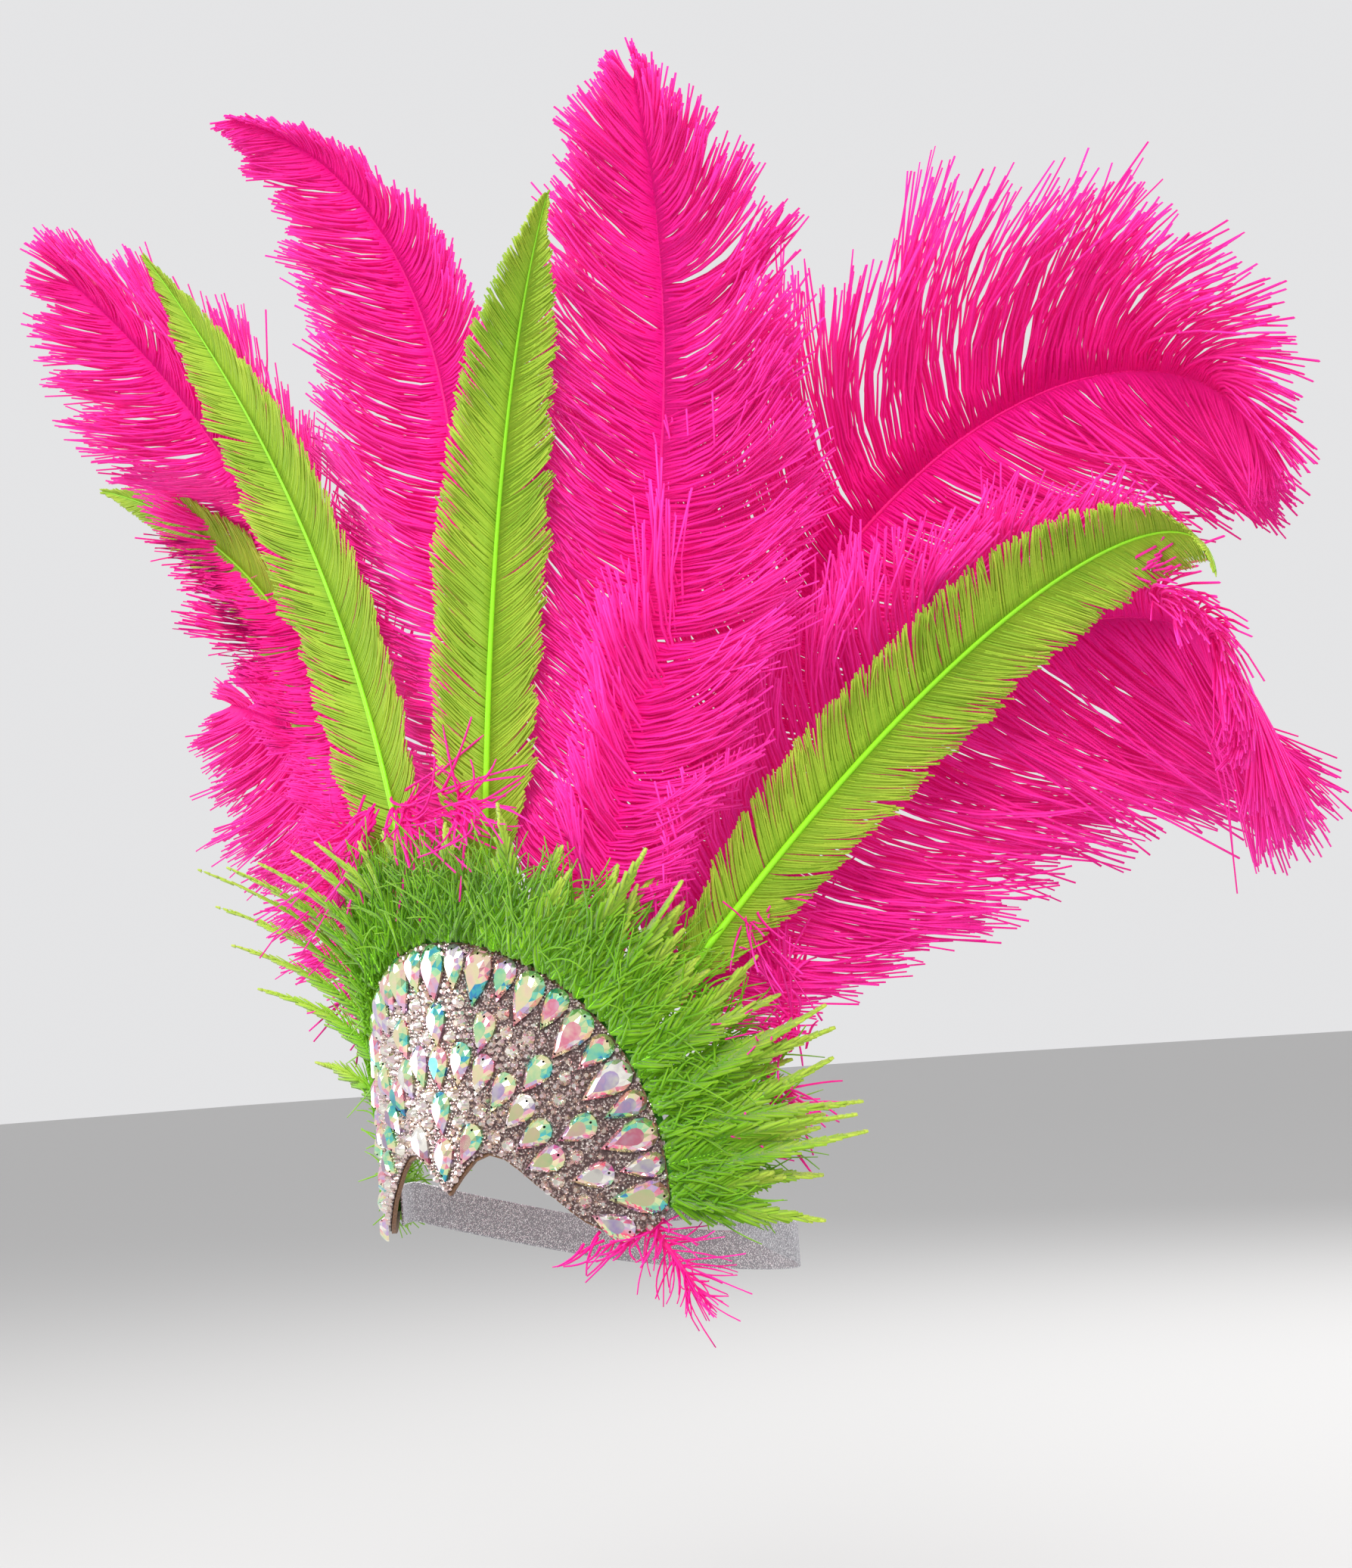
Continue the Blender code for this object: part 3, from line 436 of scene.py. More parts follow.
def barb_lines(feather, rng):
    """Barbs of one feather as (lines, reference ways). A barb leaves the stem at its angle to the
    tangent and lifts out of the vane by a small spread. It is pulled forwards and down with the square
    of its share, bows off the straight line with share (1 - share), and its lock curls with the cube.
    The tips of a lock's barbs gather at the lock's middle."""
    kind = kind_of(feather)
    blocks, references = [], []
    for sign, side_share in ((-1, feather["left"]), (1, feather["right"])):
        vane = np.linspace(0, 1, kind["barbs"]) + rng.normal(0, 0.4 / kind["barbs"], kind["barbs"])
        vane = np.clip(vane, 0, 1)
        point, tangent, side, face = stem_frame(feather, VANE_START + (1 - VANE_START) * vane)
        lock, to_middle = lock_of(vane, rng, kind["locks"])
        slow = np.stack([waves(vane, rng, (3, 7, 13)) for _ in range(6)], axis=1)
        by_lock = rng.normal(0, 1, (kind["locks"] + 5, 6))[lock]
        mixed = slow + LOCK_SHARE * by_lock + OWN_SHARE * rng.normal(0, 1, (len(vane), 6))
        mixed = np.clip(mixed, -MOST_MIXED, MOST_MIXED)
        length = kind["barb"] * feather["barb"] * side_share * (1 - feather["taper"] * vane**1.5)
        outline = smooth_curve(vane, VANE_OUTLINE[feather["kind"]])
        length = length * outline * (1 + kind["ragged"] * mixed[:, 0])
        stray = np.radians(kind["stray"] * mixed[:, 1])
        angle = np.radians(smooth_curve(vane, BARB_ANGLE[feather["kind"]])) + stray
        lift = np.radians(kind["spread"] * mixed[:, 2])[:, None]
        way = np.cos(angle)[:, None] * tangent + (sign * np.sin(angle))[:, None] * side
        way = unit(np.cos(lift) * way + np.sin(lift) * face)
        share = np.linspace(0, 1, kind["steps"] + 1)[:, None]
        pull = kind["curl"] * face - feather["droop"] * np.array([0.0, 0.0, 1.0])
        bow = -kind["bow"] * (1 + 0.3 * mixed[:, 3:4]) * tangent
        curl = kind["ragged"] * mixed[:, 3:]
        shape = share * way[:, None] + share**2 * pull[:, None] + share**3 * curl[:, None]
        shape += share * (1 - share) * bow[:, None]
        lines = point[:, None] + length[:, None, None] * shape
        along = kind["gather"] * (1 - VANE_START) * kind["length"] * feather["length"] * to_middle
        lines += share**2.5 * (along[:, None] * tangent)[:, None]
        blocks.append(lines)
        references.append(np.broadcast_to(face[:, None], lines.shape))
    return np.concatenate(blocks), np.concatenate(references)


def seen(places):
    """View coordinates of places: across and up as a share of the depth, and the depth itself."""
    ray = places - CAMERA_PLACE
    depth = ray @ np.cross(CAMERA_UP, CAMERA_RIGHT)
    return ray @ CAMERA_RIGHT / depth, ray @ CAMERA_UP / depth, depth


def kept_behind(lines, quill):
    """Barbs moved to pass behind a quill. A point that hides the quill's vane goes straight away from
    the camera until it is behind it; roots stay on their stem."""
    place = np.linspace(QUILL_CLEAR_FROM, 1, 64)
    quill_across, quill_up, quill_depth = seen(stem_frame(quill, place)[0])
    across, up, depth = seen(lines.reshape(-1, 3))
    apart = np.hypot(across[:, None] - quill_across, up[:, None] - quill_up)
    nearest = np.argmin(apart, axis=1)
    vane = (place[nearest] - VANE_START) / (1 - VANE_START)
    half_width = QUILL_HALF_WIDTH * smooth_curve(vane, VANE_OUTLINE["quill"])
    beside = apart[np.arange(len(depth)), nearest] * quill_depth[nearest]
    near = np.clip((half_width + QUILL_MARGIN - beside) / QUILL_MARGIN, 0, 1)
    push = near * np.clip(quill_depth[nearest] + QUILL_GAP - depth, 0, MOST_PUSH)
    push = push.reshape(lines.shape[:2]) * np.clip(4 * np.linspace(0, 1, lines.shape[1]), 0, 1)
    return lines + push[..., None] * unit(lines - CAMERA_PLACE)


def feather_pieces(feather, quills, materials, rng):
    """Barbs and stem of one feather, which take the place of its solid."""
    kind = kind_of(feather)
    is_quill = feather["kind"] == "quill"
    slot = "green_quill" if is_quill else "pink_plume"
    lines, reference = barb_lines(feather, rng)
    if feather["kind"] == "plume":
        for quill in quills:
            lines = kept_behind(lines, quill)
    share = np.linspace(0, 1, lines.shape[1])
    radius = kind["radius"] * (1 - (0.45 if is_quill else 0.40) * share**1.5)
    bumps = 1 + (0.04 if is_quill else 0.13) * rng.normal(0, 1, lines.shape[:2])
    radius = np.clip(radius * bumps, 0.25 * kind["radius"], 1.5 * kind["radius"])
    lot = rng.random(len(lines))
    barbs = strand_piece(
        f"{feather['name']}_barbs", lines, radius, reference, lot, materials[slot], kind["flat"]
    )
    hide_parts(feather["name"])
    place = np.linspace(0, 1, 49)
    point, _, side, _ = stem_frame(feather, place)
    thick = STEM_RADIUS * (1 - 0.86 * place**0.9)
    stem_material = materials["quill_stem" if is_quill else "plume_stem"]
    strand_piece(
        f"{feather['name']}_stem", point[None], thick[None], side[None], np.array([0.5]), stem_material,
        sides=10,
    )


def collar_length(angle):
    """Length of the hackles at an angle."""
    return COLLAR_LENGTH * smooth_curve(angle, COLLAR_REACH)


def hackle_lines(rng):
    """Hackles round the arc: each has a stem that leaves the plate's edge close to the radial way and
    bends outwards, and barbs whose length swells then runs out to a point."""
    angle = np.linspace(-COLLAR_HALF_ANGLE, COLLAR_HALF_ANGLE, HACKLES) + rng.normal(0, HACKLE_STRAY, HACKLES)
    angle = np.clip(angle, -COLLAR_HALF_ANGLE, COLLAR_HALF_ANGLE)
    length = collar_length(angle) * rng.uniform(*HACKLE_SHARES, HACKLES)
    out = rng.uniform(0, HACKLE_MOST_OUT, HACKLES)
    lean = rng.normal(0, HACKLE_LEAN, HACKLES)
    long_ones = np.array(LONG_HACKLES, float)
    angle, length, out, lean = (
        np.concatenate([own, more]) for own, more in zip((angle, length, out, lean), long_ones.T)
    )
    count = len(angle)
    root, radial, sideways, outward = fan_frame(angle, fan_reach(angle) + TOUCH_GAP, HACKLE_ROOT_HEIGHT)
    root += (HACKLE_LAYER * rng.random(count))[:, None] * outward
    out, lean = np.radians(out)[:, None], np.radians(lean)[:, None]
    ways = np.cos(lean) * radial + np.sin(lean) * sideways
    twist = rng.normal(0, HACKLE_TWIST, count)[:, None]
    flat_way = unit(np.cos(twist) * sideways + np.sin(twist) * outward)
    vane = np.linspace(0, 1, HACKLE_BARBS)[:, None]
    bend = np.sin(0.5 * out) * outward - (1 - np.cos(0.5 * out)) * radial
    stem = vane * (ways + 0.5 * bend)[:, None] + vane**2 * (1.5 * bend)[:, None]
    stem = root[:, None] + length[:, None, None] * stem
    tangent = unit(np.gradient(stem, axis=1))
    width = HACKLE_BARB * np.interp(vane[:, 0], *zip(*HACKLE_OUTLINE))
    angles = np.radians(np.interp(vane[:, 0], *zip(*HACKLE_BARB_ANGLE)))
    share = np.linspace(0, 1, 4)[:, None]
    blocks, references = [], []
    for sign in (-1, 1):
        turn = angles[None, :, None] + rng.normal(0, HACKLE_BARB_STRAY, stem.shape[:2])[..., None]
        way = np.cos(turn) * tangent + sign * np.sin(turn) * flat_way[:, None]
        reach_out = (width * rng.uniform(0.8, 1.15, stem.shape[:2]))[..., None]
        depth = rng.normal(0, HACKLE_BARB_LIFT, stem.shape[:2])[..., None] * outward[:, None]
        grow = share * (way + depth)[:, :, None] + HACKLE_BARB_SWEEP * share**2 * tangent[:, :, None]
        lines = stem[:, :, None] + reach_out[..., None] * grow
        blocks.append(lines.reshape(-1, 4, 3))
        references.append(np.broadcast_to(outward[:, None, None], lines.shape).reshape(-1, 4, 3))
    return stem, np.concatenate(blocks), np.concatenate(references), outward


def hackle_collar(materials, rng):
    """Collar of hackles with their stems, and the fluff of their downy lower barbs."""
    stem, lines, reference, outward = hackle_lines(rng)
    hackles = len(stem)
    barb_radius = HACKLE_BARB_RADIUS * (1 - 0.45 * np.linspace(0, 1, 4)) * np.ones((len(lines), 1))
    tip_share = np.tile(np.linspace(0, 1, HACKLE_BARBS), 2 * hackles)
    lot = np.clip(0.75 * tip_share + 0.25 * rng.random(len(lines)), 0, 1)
    collar = strand_piece(
        "collar_hackles", lines, barb_radius, reference, lot, materials["green_hackle"], 0.3
    )
    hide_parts("hackle_collar")
    count = stem.shape[1]
    stem_radius = np.linspace(*HACKLE_STEM, count) * np.ones((hackles, 1))
    reference = np.broadcast_to(np.cross(outward[:, None], np.gradient(stem, axis=1)), stem.shape)
    strand_piece(
        "collar_hackle_stems", stem, stem_radius, unit(reference), rng.random(hackles),
        materials["quill_stem"], sides=4,
    )
    fluff(materials, rng)


def fluff(materials, rng):
    """Down round the plate's edge: short soft strands in a cone round the radial way."""
    angle = rng.uniform(-COLLAR_HALF_ANGLE, COLLAR_HALF_ANGLE, FLUFF_BARBS)
    out = rng.random(FLUFF_BARBS)
    reach = fan_reach(angle) + 0.0006 + 0.62 * out**1.3 * collar_length(angle)
    height = rng.uniform(*FLUFF_HEIGHTS, FLUFF_BARBS) + 0.006 * out
    root, radial, sideways, outward = fan_frame(angle, reach, 0.0)
    root = root + height[:, None] * outward
    spread = rng.normal(0, FLUFF_SPREAD, (FLUFF_BARBS, 2))
    way = unit(radial + spread[:, :1] * sideways + 0.45 * spread[:, 1:] * outward)
    own = rng.normal(0, FLUFF_CURL, (FLUFF_BARBS, 3))
    length = rng.uniform(*FLUFF_LENGTHS, FLUFF_BARBS)[:, None, None]
    share = np.linspace(0, 1, 6)[:, None]
    lines = root[:, None] + length * (share * way[:, None] + share**2 * own[:, None])
    radius = FLUFF_RADIUS * (1 - 0.5 * share[:, 0]) * np.ones((FLUFF_BARBS, 1))
    strand_piece(
        "collar_down", lines, radius, np.broadcast_to(outward[:, None], lines.shape),
        0.25 * rng.random(FLUFF_BARBS), materials["green_hackle"],
    )


def collar_tape(materials):
    """Tape behind the plate that the hackles are sewn to: a closed ring section along the arc."""
    angle = np.linspace(-COLLAR_HALF_ANGLE, COLLAR_HALF_ANGLE, 94)
    front = -PLATE_WALL - TOUCH_GAP
    back = front - COLLAR_ROOT_WALL
    edge = fan_reach(angle) + 0.0025
    rows = []
    for reach, height in (
        (COLLAR_ROOT_REACH + 0 * angle, front), (edge, front), (edge + 0.0015, front - 0.001),
        (edge, back), (COLLAR_ROOT_REACH + 0.001 + 0 * angle, back),
        (COLLAR_ROOT_REACH + 0 * angle, front - 0.001),
    ):
        rows.append(wrap(*fan_place(angle, reach), height))
    grid = np.stack(rows)
    add_piece(
        "collar_tape", grid.reshape(-1, 3), closed_grid(grid), materials["collar_tape"],
        smooth=False,
    )


def wisps(materials, rng):
    """Loose pink barbs in front of the collar: each bunch points one way in the plate's plane, fans out
    a little, falls with the square of the share and curls with its cube."""
    blocks, references = [], []
    share = np.linspace(0, 1, WISP_POINTS)[:, None]
    for angle, reach, height, number, length, way_turn in WISPS:
        around = angle + rng.normal(0, 1.5, number)
        place, radial, sideways, outward = fan_frame(around, reach + rng.normal(0, 0.004, number), height)
        turn = np.radians(way_turn + rng.normal(0, WISP_TURN, number))[:, None]
        stand_off = rng.uniform(0.1, 0.7, (number, 1)) * outward
        way = unit(np.cos(turn) * radial + np.sin(turn) * sideways + stand_off)
        bunch_pull = rng.normal(0, 0.35, 3) - np.array([0.0, 0.0, 0.12])
        pull = bunch_pull + rng.normal(0, 0.25, (number, 3))
        own = rng.normal(0, 0.25, (number, 3))
        sizes = length * rng.uniform(0.45, 1.0, number)[:, None, None]
        shape = share * way[:, None] + share**2 * pull[:, None] + share**3 * own[:, None]
        blocks.append(place[:, None] + sizes * 0.8 * shape)
        references.append(np.broadcast_to(outward[:, None], blocks[-1].shape))
    lines = np.concatenate(blocks)
    radius = WISP_RADIUS * (1 - 0.45 * share[:, 0]) * (1 + 0.12 * rng.normal(0, 1, lines.shape[:2]))
    radius = np.clip(radius, 0.0003, 0.0013)
    strand_piece(
        "loose_wisps", lines, radius, np.concatenate(references), rng.random(len(lines)),
        materials["pink_plume"],
    )


# Stones

def drop_outline(sides):
    """Drop outline of unit length and width, the point at -0.5 and the round end at +0.5."""
    turn = 2 * np.pi * np.arange(sides) / sides
    along = np.cos(turn)
    width = np.sin(turn) * (0.5 + 0.5 * np.clip((along + 1) / DROP_ROUND_START, 0, 1) ** DROP_TAPER)
    return np.stack([0.5 * along, 0.5 * width / np.abs(width).max()], axis=1)


def pear_outline(sides):
    """Outline of a cut drop within the same length and width: the width is sin a cos(a / 2) to the
    power 1.5, so that its round end is nearly half a circle."""
    turn = 2 * np.pi * np.arange(sides) / sides
    width = np.sin(turn) * np.abs(np.cos(0.5 * turn)) ** PEAR_TAPER
    return np.stack([0.5 * np.cos(turn), 0.5 * width / np.abs(width).max()], axis=1)


def turn_outline(outline, degrees):
    """Outline turned in its plane, from its length towards its width."""
    turn = np.radians(degrees)
    along, aside = outline.T
    turned = (along * np.cos(turn) - aside * np.sin(turn), along * np.sin(turn) + aside * np.cos(turn))
    return np.stack(turned, axis=1)


def rim_places():
    """Rim drops as (length, width, height, place, way): evenly spaced along a line inside the arc."""
    angles = np.linspace(0, RIM_ROW_END, 361)
    side, up = fan_place(angles, fan_reach(angles) - RIM_ROW_INSET)
    run = np.concatenate([[0], np.cumsum(np.hypot(np.diff(side), np.diff(up)))])
    pitch = run[-1] / (RIM_DROP_PAIRS - 1)
    small_width = 2 * (pitch - STONE_GAP) / (1 + LARGE_TO_SMALL_WIDTH)
    for step in range(-RIM_DROP_PAIRS, RIM_DROP_PAIRS + 1):
        large = step % 2 == 0
        length, height = LARGE_DROP if large else SMALL_DROP
        width = small_width * (LARGE_TO_SMALL_WIDTH if large else 1)
        if abs(step) == RIM_DROP_PAIRS:
            angle, way, share = CORNER_DROP
            reach = share * FAN_SIDE_REACH
        else:
            angle = way = np.interp(abs(step) * pitch, run, angles)
            reach = fan_reach(angle) - RIM_MARGIN - 0.5 * length
        sign = -1 if step < 0 else 1
        yield length, width, height, (sign * angle, reach), sign * way


def flat_outline(outline, angle, reach, way):
    """Outline of a stone in the flat pattern, its round end pointing to the angle way."""
    turn = np.radians(way)
    along = np.array([np.sin(turn), np.cos(turn)])
    aside = np.array([np.cos(turn), -np.sin(turn)])
    return np.array(fan_place(angle, reach)) + outline[:, :1] * along + outline[:, 1:] * aside


def clearance(places, outline):
    """How far each flat place lies outside a convex outline: the largest distance to an edge line."""
    edge = np.roll(outline, -1, axis=0) - outline
    normal = unit(np.stack([edge[:, 1], -edge[:, 0]], axis=1))
    inside = np.sign(np.sum((outline.mean(axis=0) - outline) * normal, axis=1))
    normal = -normal * inside[:, None]
    return np.max(np.sum((places[:, None] - outline) * normal, axis=2), axis=1)


def both_sides(rows):
    """Each row once where it is in the middle, otherwise once for each side."""
    for row in rows:
        for sign in ((1,) if row[0] == 0 else (1, -1)):
            yield (sign * row[0], *row[1:])


def drop_outlines(bed_sides, rim_sides):
    """Flat outlines of the bed drops on the right half and of all rim drops."""
    shape = drop_outline(bed_sides) * (BED_DROP[0], BED_DROP_WIDTH)
    outlines = [flat_outline(shape, a, share * fan_reach(a), a) for a, share in BED_DROPS]
    for length, width, _, place, way in rim_places():
        outlines.append(flat_outline(drop_outline(rim_sides) * (length, width), *place, way))
    return outlines


def round_places():
    """Round stones (angle, reach, diameter) in the widest gaps, found as in the solids."""
    angle, share = np.meshgrid(np.linspace(2, 94, 93), np.linspace(0.10, 0.84, 75))
    angle, reach = angle.ravel(), share.ravel() * fan_reach(angle.ravel())
    places = np.stack(fan_place(angle, reach), axis=1)
    edge_across = np.linspace(0, FAN_SIDE_REACH, 240)
    low_edge = np.stack([edge_across, fan_bottom(edge_across)], axis=1)
    room = np.min(np.linalg.norm(places[:, None] - low_edge, axis=2), axis=1) - 2 * BED_MARGIN
    room[places[:, 1] < fan_bottom(places[:, 0])] = 0
    room = np.minimum(room, places[:, 0] - STONE_GAP)
    for outline in drop_outlines(10, 12):
        room = np.minimum(room, clearance(places, outline) - STONE_GAP)
    stones = []
    for _ in range(ROUND_PAIRS):
        best = np.argmax(room)
        radius = min(room[best], 0.5 * ROUND_DIAMETER)
        stones.append((angle[best], reach[best], 2 * radius))
        away = np.linalg.norm(places - places[best], axis=1) - radius - STONE_GAP
        room = np.minimum(room, away)
    return stones


def cut_stones(outlines, places, heights, levels, sink):
    """Cut stones of one pattern at many places. Rings run up from the flat back; odd rings lie half a
    step round, so that the facets between them are triangles. A level is (share of the outline, share
    of the height, half a step or not); outlines is (stones, corners, 2), places (angle, reach, way)."""
    angle, reach, height_on_plate = places
    centre, radial, sideways, outward = fan_frame(angle, reach, height_on_plate - sink)
    count, corners = outlines.shape[:2]
    halfway = 0.5 * (outlines + np.roll(outlines, -1, axis=1))
    rings = []
    for share, level, half in levels:
        flat = (halfway if half else outlines) * share
        rise = (sink + level * heights if level > 0 else 0 * heights)[:, None, None]
        rings.append(
            centre[:, None] + flat[..., :1] * radial[:, None] + flat[..., 1:] * sideways[:, None]
            + rise * outward[:, None]
        )
    vertices = np.stack(rings, axis=1).reshape(-1, 3)
    index = np.arange(len(vertices)).reshape(count, len(levels), corners)
    faces = [index[:, 0], index[:, -1, ::-1]]
    for k in range(len(levels) - 1):
        low, high = index[:, k], index[:, k + 1]
        low_next, high_next = np.roll(low, -1, axis=1), np.roll(high, -1, axis=1)
        if levels[k][2] == levels[k + 1][2]:
            faces.append(np.stack([low, high, high_next, low_next], axis=-1).reshape(-1, 4))
        elif levels[k + 1][2]:
            faces.append(np.stack([low, high, low_next], axis=-1).reshape(-1, 3))
            faces.append(np.stack([low_next, high, high_next], axis=-1).reshape(-1, 3))
        else:
            faces.append(np.stack([low, high, high_next], axis=-1).reshape(-1, 3))
            faces.append(np.stack([low, high_next, low_next], axis=-1).reshape(-1, 3))
    return vertices, faces


def facet_tints(vertices, faces, count, rng, painted_reflection, own=0.06):
    """Tint of each facet, above 0.1 so that 0 is left for the painted shade of the drilled holes: one value a
    stone for its colour, swung by the way that the facet lies from the stone's middle as a painted
    reflection, so that facets turn lighter, darker and otherwise tinted, and a little of its own."""
    middles = vertices.reshape(count, -1, 3).mean(axis=1)
    stone = np.concatenate([np.repeat(np.arange(count), len(block) // count) for block in faces])
    middle = np.concatenate([vertices[block].mean(axis=1) for block in faces])
    way = unit(middle - middles[stone] + 1e-9)
    phase = rng.uniform(0, 2 * np.pi, count)[stone]
    # Painted reflection: each facet lighter, darker and otherwise tinted by the way that it faces
    facet_reflection = np.sin(2.2 * way[:, 2] + 1.6 * way[:, 0] + phase)
    tint = (0.58 + rng.normal(0, 0.10, count))[stone] + painted_reflection * facet_reflection + rng.normal(0, own, len(stone))
    return 0.1 + 0.9 * np.clip(tint, 0, 1)


def drilled(piece, cutters):
    """Cut the drilled holes and keep the result as the piece's mesh."""
    cut = piece.modifiers.new("holes", "BOOLEAN")
    cut.operation = "DIFFERENCE"
    cut.solver = "EXACT"
    cut.object = cutters
    bpy.context.view_layer.update()
    graph = bpy.context.evaluated_depsgraph_get()
    piece.data = bpy.data.meshes.new_from_object(piece.evaluated_get(graph))
    piece.modifiers.clear()
    bpy.data.objects.remove(cutters, do_unlink=True)


def hole_cutters(angle, reach, way_turn, lengths, height_on_plate):
    """Thin cylinders through both ends of each drop, square to the plate."""
    centre, radial, sideways, outward = fan_frame(angle, reach, height_on_plate)
    turn = np.radians(way_turn)[:, None]
    along = np.cos(turn) * radial + np.sin(turn) * sideways
    away = (0.5 * lengths - HOLE_FROM_END)[:, None]
    ends = np.concatenate([centre + away * along, centre - (away - 0.0006) * along])
    outs = np.concatenate([outward, outward])
    refs = np.concatenate([along, along])
    rise = np.array([-0.002, 0.008])[:, None]
    lines = ends[:, None] + rise * outs[:, None]
    vertices, faces = tubes(lines, np.full(lines.shape[:2], HOLE_RADIUS), refs[:, None], sides=8)
    mesh = bpy.data.meshes.new("hole_cutters")
    mesh.from_pydata(vertices.tolist(), [], [list(face) for block in faces for face in block.tolist()])
    cutters = bpy.data.objects.new("hole_cutters", mesh)
    bpy.context.scene.collection.objects.link(cutters)
    cutters.hide_render = True
    return cutters


DROP_LEVELS = ((1.0, 0.0, False), (1.0, 0.26, False), (0.80, 0.68, True), (0.52, 1.0, False))
ROUND_LEVELS = ((1.0, 0.0, False), (1.0, 0.10, False), (0.62, 0.72, True), (0.34, 1.0, False))
SEED_LEVELS = ((1.0, 0.0, False), (1.0, 0.20, False), (0.50, 1.0, False))
# Seed stones in two sizes: pitch, smallest and largest diameter, sides
SEED_SIZES = ((0.0042, 0.0027, 0.0042, 9), (0.0019, 0.0011, 0.0017, 6))


def rim_stones(materials, rng):
    """Row of drops on the plate's arc, with facets and drilled holes."""
    rows = list(rim_places())
    angle = np.array([row[3][0] for row in rows])
    reach = np.array([row[3][1] for row in rows])
    turn = np.array([row[4] for row in rows]) - angle
    lengths = np.array([row[0] for row in rows])
    heights = np.array([row[2] for row in rows])
    outlines = np.stack([
        turn_outline(pear_outline(DROP_SIDES) * (row[0], row[1]), row[4] - row[3][0]) for row in rows
    ])
    on_plate = 2 * TOUCH_GAP + BED_WALL
    vertices, faces = cut_stones(outlines, (angle, reach, on_plate), heights, DROP_LEVELS, 0.0)
    piece = add_piece(
        "rim_drops", vertices, faces, materials["crystal"], smooth=False,
        attributes=[("tint", "FACE", facet_tints(vertices, faces, len(rows), rng, 0.32))],
    )
    drilled(piece, hole_cutters(angle, reach, turn, lengths, on_plate))
    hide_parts(*[f"rim_drop_{k:02d}" for k in range(1, len(rows) + 1)])


def bed_stones(materials, rng):
    """Stones of the bed: drops in rings with drilled holes, then round stones in the gaps."""
    drops = np.array(list(both_sides(BED_DROPS)))
    angle, reach = drops[:, 0], drops[:, 1] * fan_reach(drops[:, 0])
    outlines = np.repeat((pear_outline(DROP_SIDES) * (BED_DROP[0], BED_DROP_WIDTH))[None], len(drops), axis=0)
    on_plate = TOUCH_GAP + BED_WALL
    heights = np.full(len(drops), BED_DROP[1])
    vertices, faces = cut_stones(outlines, (angle, reach, on_plate), heights, DROP_LEVELS, STONE_SINK)
    piece = add_piece(
        "bed_drops", vertices, faces, materials["crystal"], smooth=False,
        attributes=[("tint", "FACE", facet_tints(vertices, faces, len(drops), rng, 0.32))],
    )
    drilled(piece, hole_cutters(angle, reach, 0 * angle, 0 * reach + BED_DROP[0], on_plate))
    rounds = np.array(list(both_sides(round_places())))
    turn = 2 * np.pi * (np.arange(ROUND_SIDES) + 0.5) / ROUND_SIDES
    ring = 0.5 * np.stack([np.cos(turn), -np.sin(turn)], axis=1)[::-1]
    outlines = rounds[:, 2, None, None] * ring
    vertices, faces = cut_stones(
        outlines, (rounds[:, 0], rounds[:, 1], on_plate), 0.5 * rounds[:, 2], ROUND_LEVELS, STONE_SINK
    )
    add_piece(
        "bed_rounds", vertices, faces, materials["round_crystal"], smooth=False,
        attributes=[("tint", "FACE", facet_tints(vertices, faces, len(rounds), rng, 0.18, 0.12))],
    )
    return rounds


def seed_room(places, taken):
    """Room round flat places before the nearest larger stone: how large a radius fits there."""
    room = np.full(len(places), np.inf)
    mirror = np.array([-1.0, 1.0])
    for outline in drop_outlines(16, 16):
        room = np.minimum(room, clearance(places, outline))
        room = np.minimum(room, clearance(places * mirror, outline))
    for across, up, radius in taken:
        room = np.minimum(room, np.linalg.norm(places - (across, up), axis=1) - radius)
    return room


def seed_stones(rounds, materials, rng):
    """Seed stones on the bed, the larger size first: a jittered triangular grid, with those under a
    larger stone left out and each one's size cut to the room that it has."""
    taken = [(*fan_place(angle, reach), 0.5 * diameter) for angle, reach, diameter in rounds]
    for number, (pitch, smallest, largest, sides) in enumerate(SEED_SIZES, 1):
        side = np.arange(-FAN_SIDE_REACH, FAN_SIDE_REACH, pitch)
        level = np.arange(-0.02, 0.14, 0.866 * pitch)
        across, up = np.meshgrid(side, level)
        across = across + 0.5 * pitch * (np.arange(len(level)) % 2)[:, None]
        places = np.stack([across.ravel(), up.ravel()], axis=1)
        places += rng.uniform(-0.14, 0.14, places.shape) * pitch
        edge = 0.5 * smallest + 0.0002
        side, level = places.T
        inner = (np.abs(side) < FAN_SIDE_REACH - 0.002) & (level > fan_bottom(side) + edge)
        places = places[inner & (level < fan_top(side) - edge)]
        room = seed_room(places, taken) + 0.0003
        keep = room > 0.5 * smallest
        places, room = places[keep], room[keep]
        radius = np.minimum(np.minimum(room, 0.52 * pitch), 0.5 * rng.uniform(smallest, largest, len(room)))
        from_centre = places - np.array([0.0, FAN_BASE_Z])
        angle = np.degrees(np.arctan2(from_centre[:, 0], from_centre[:, 1]))
        reach = np.linalg.norm(from_centre, axis=1)
        turn = 2 * np.pi * np.arange(sides) / sides
        ring = np.stack([np.cos(turn), -np.sin(turn)], axis=1)[::-1]
        on_plate = TOUCH_GAP + BED_WALL
        vertices, faces = cut_stones(
            radius[:, None, None] * ring, (angle, reach, on_plate), 1.15 * radius, SEED_LEVELS, 0.0002
        )
        add_piece(
            f"seed_stones_{number}", vertices, faces, materials["seed_crystal"], smooth=False,
            attributes=[("tint", "FACE", facet_tints(vertices, faces, len(radius), rng, 0.12, 0.10))],
        )
        taken += list(zip(places[:, 0], places[:, 1], radius))


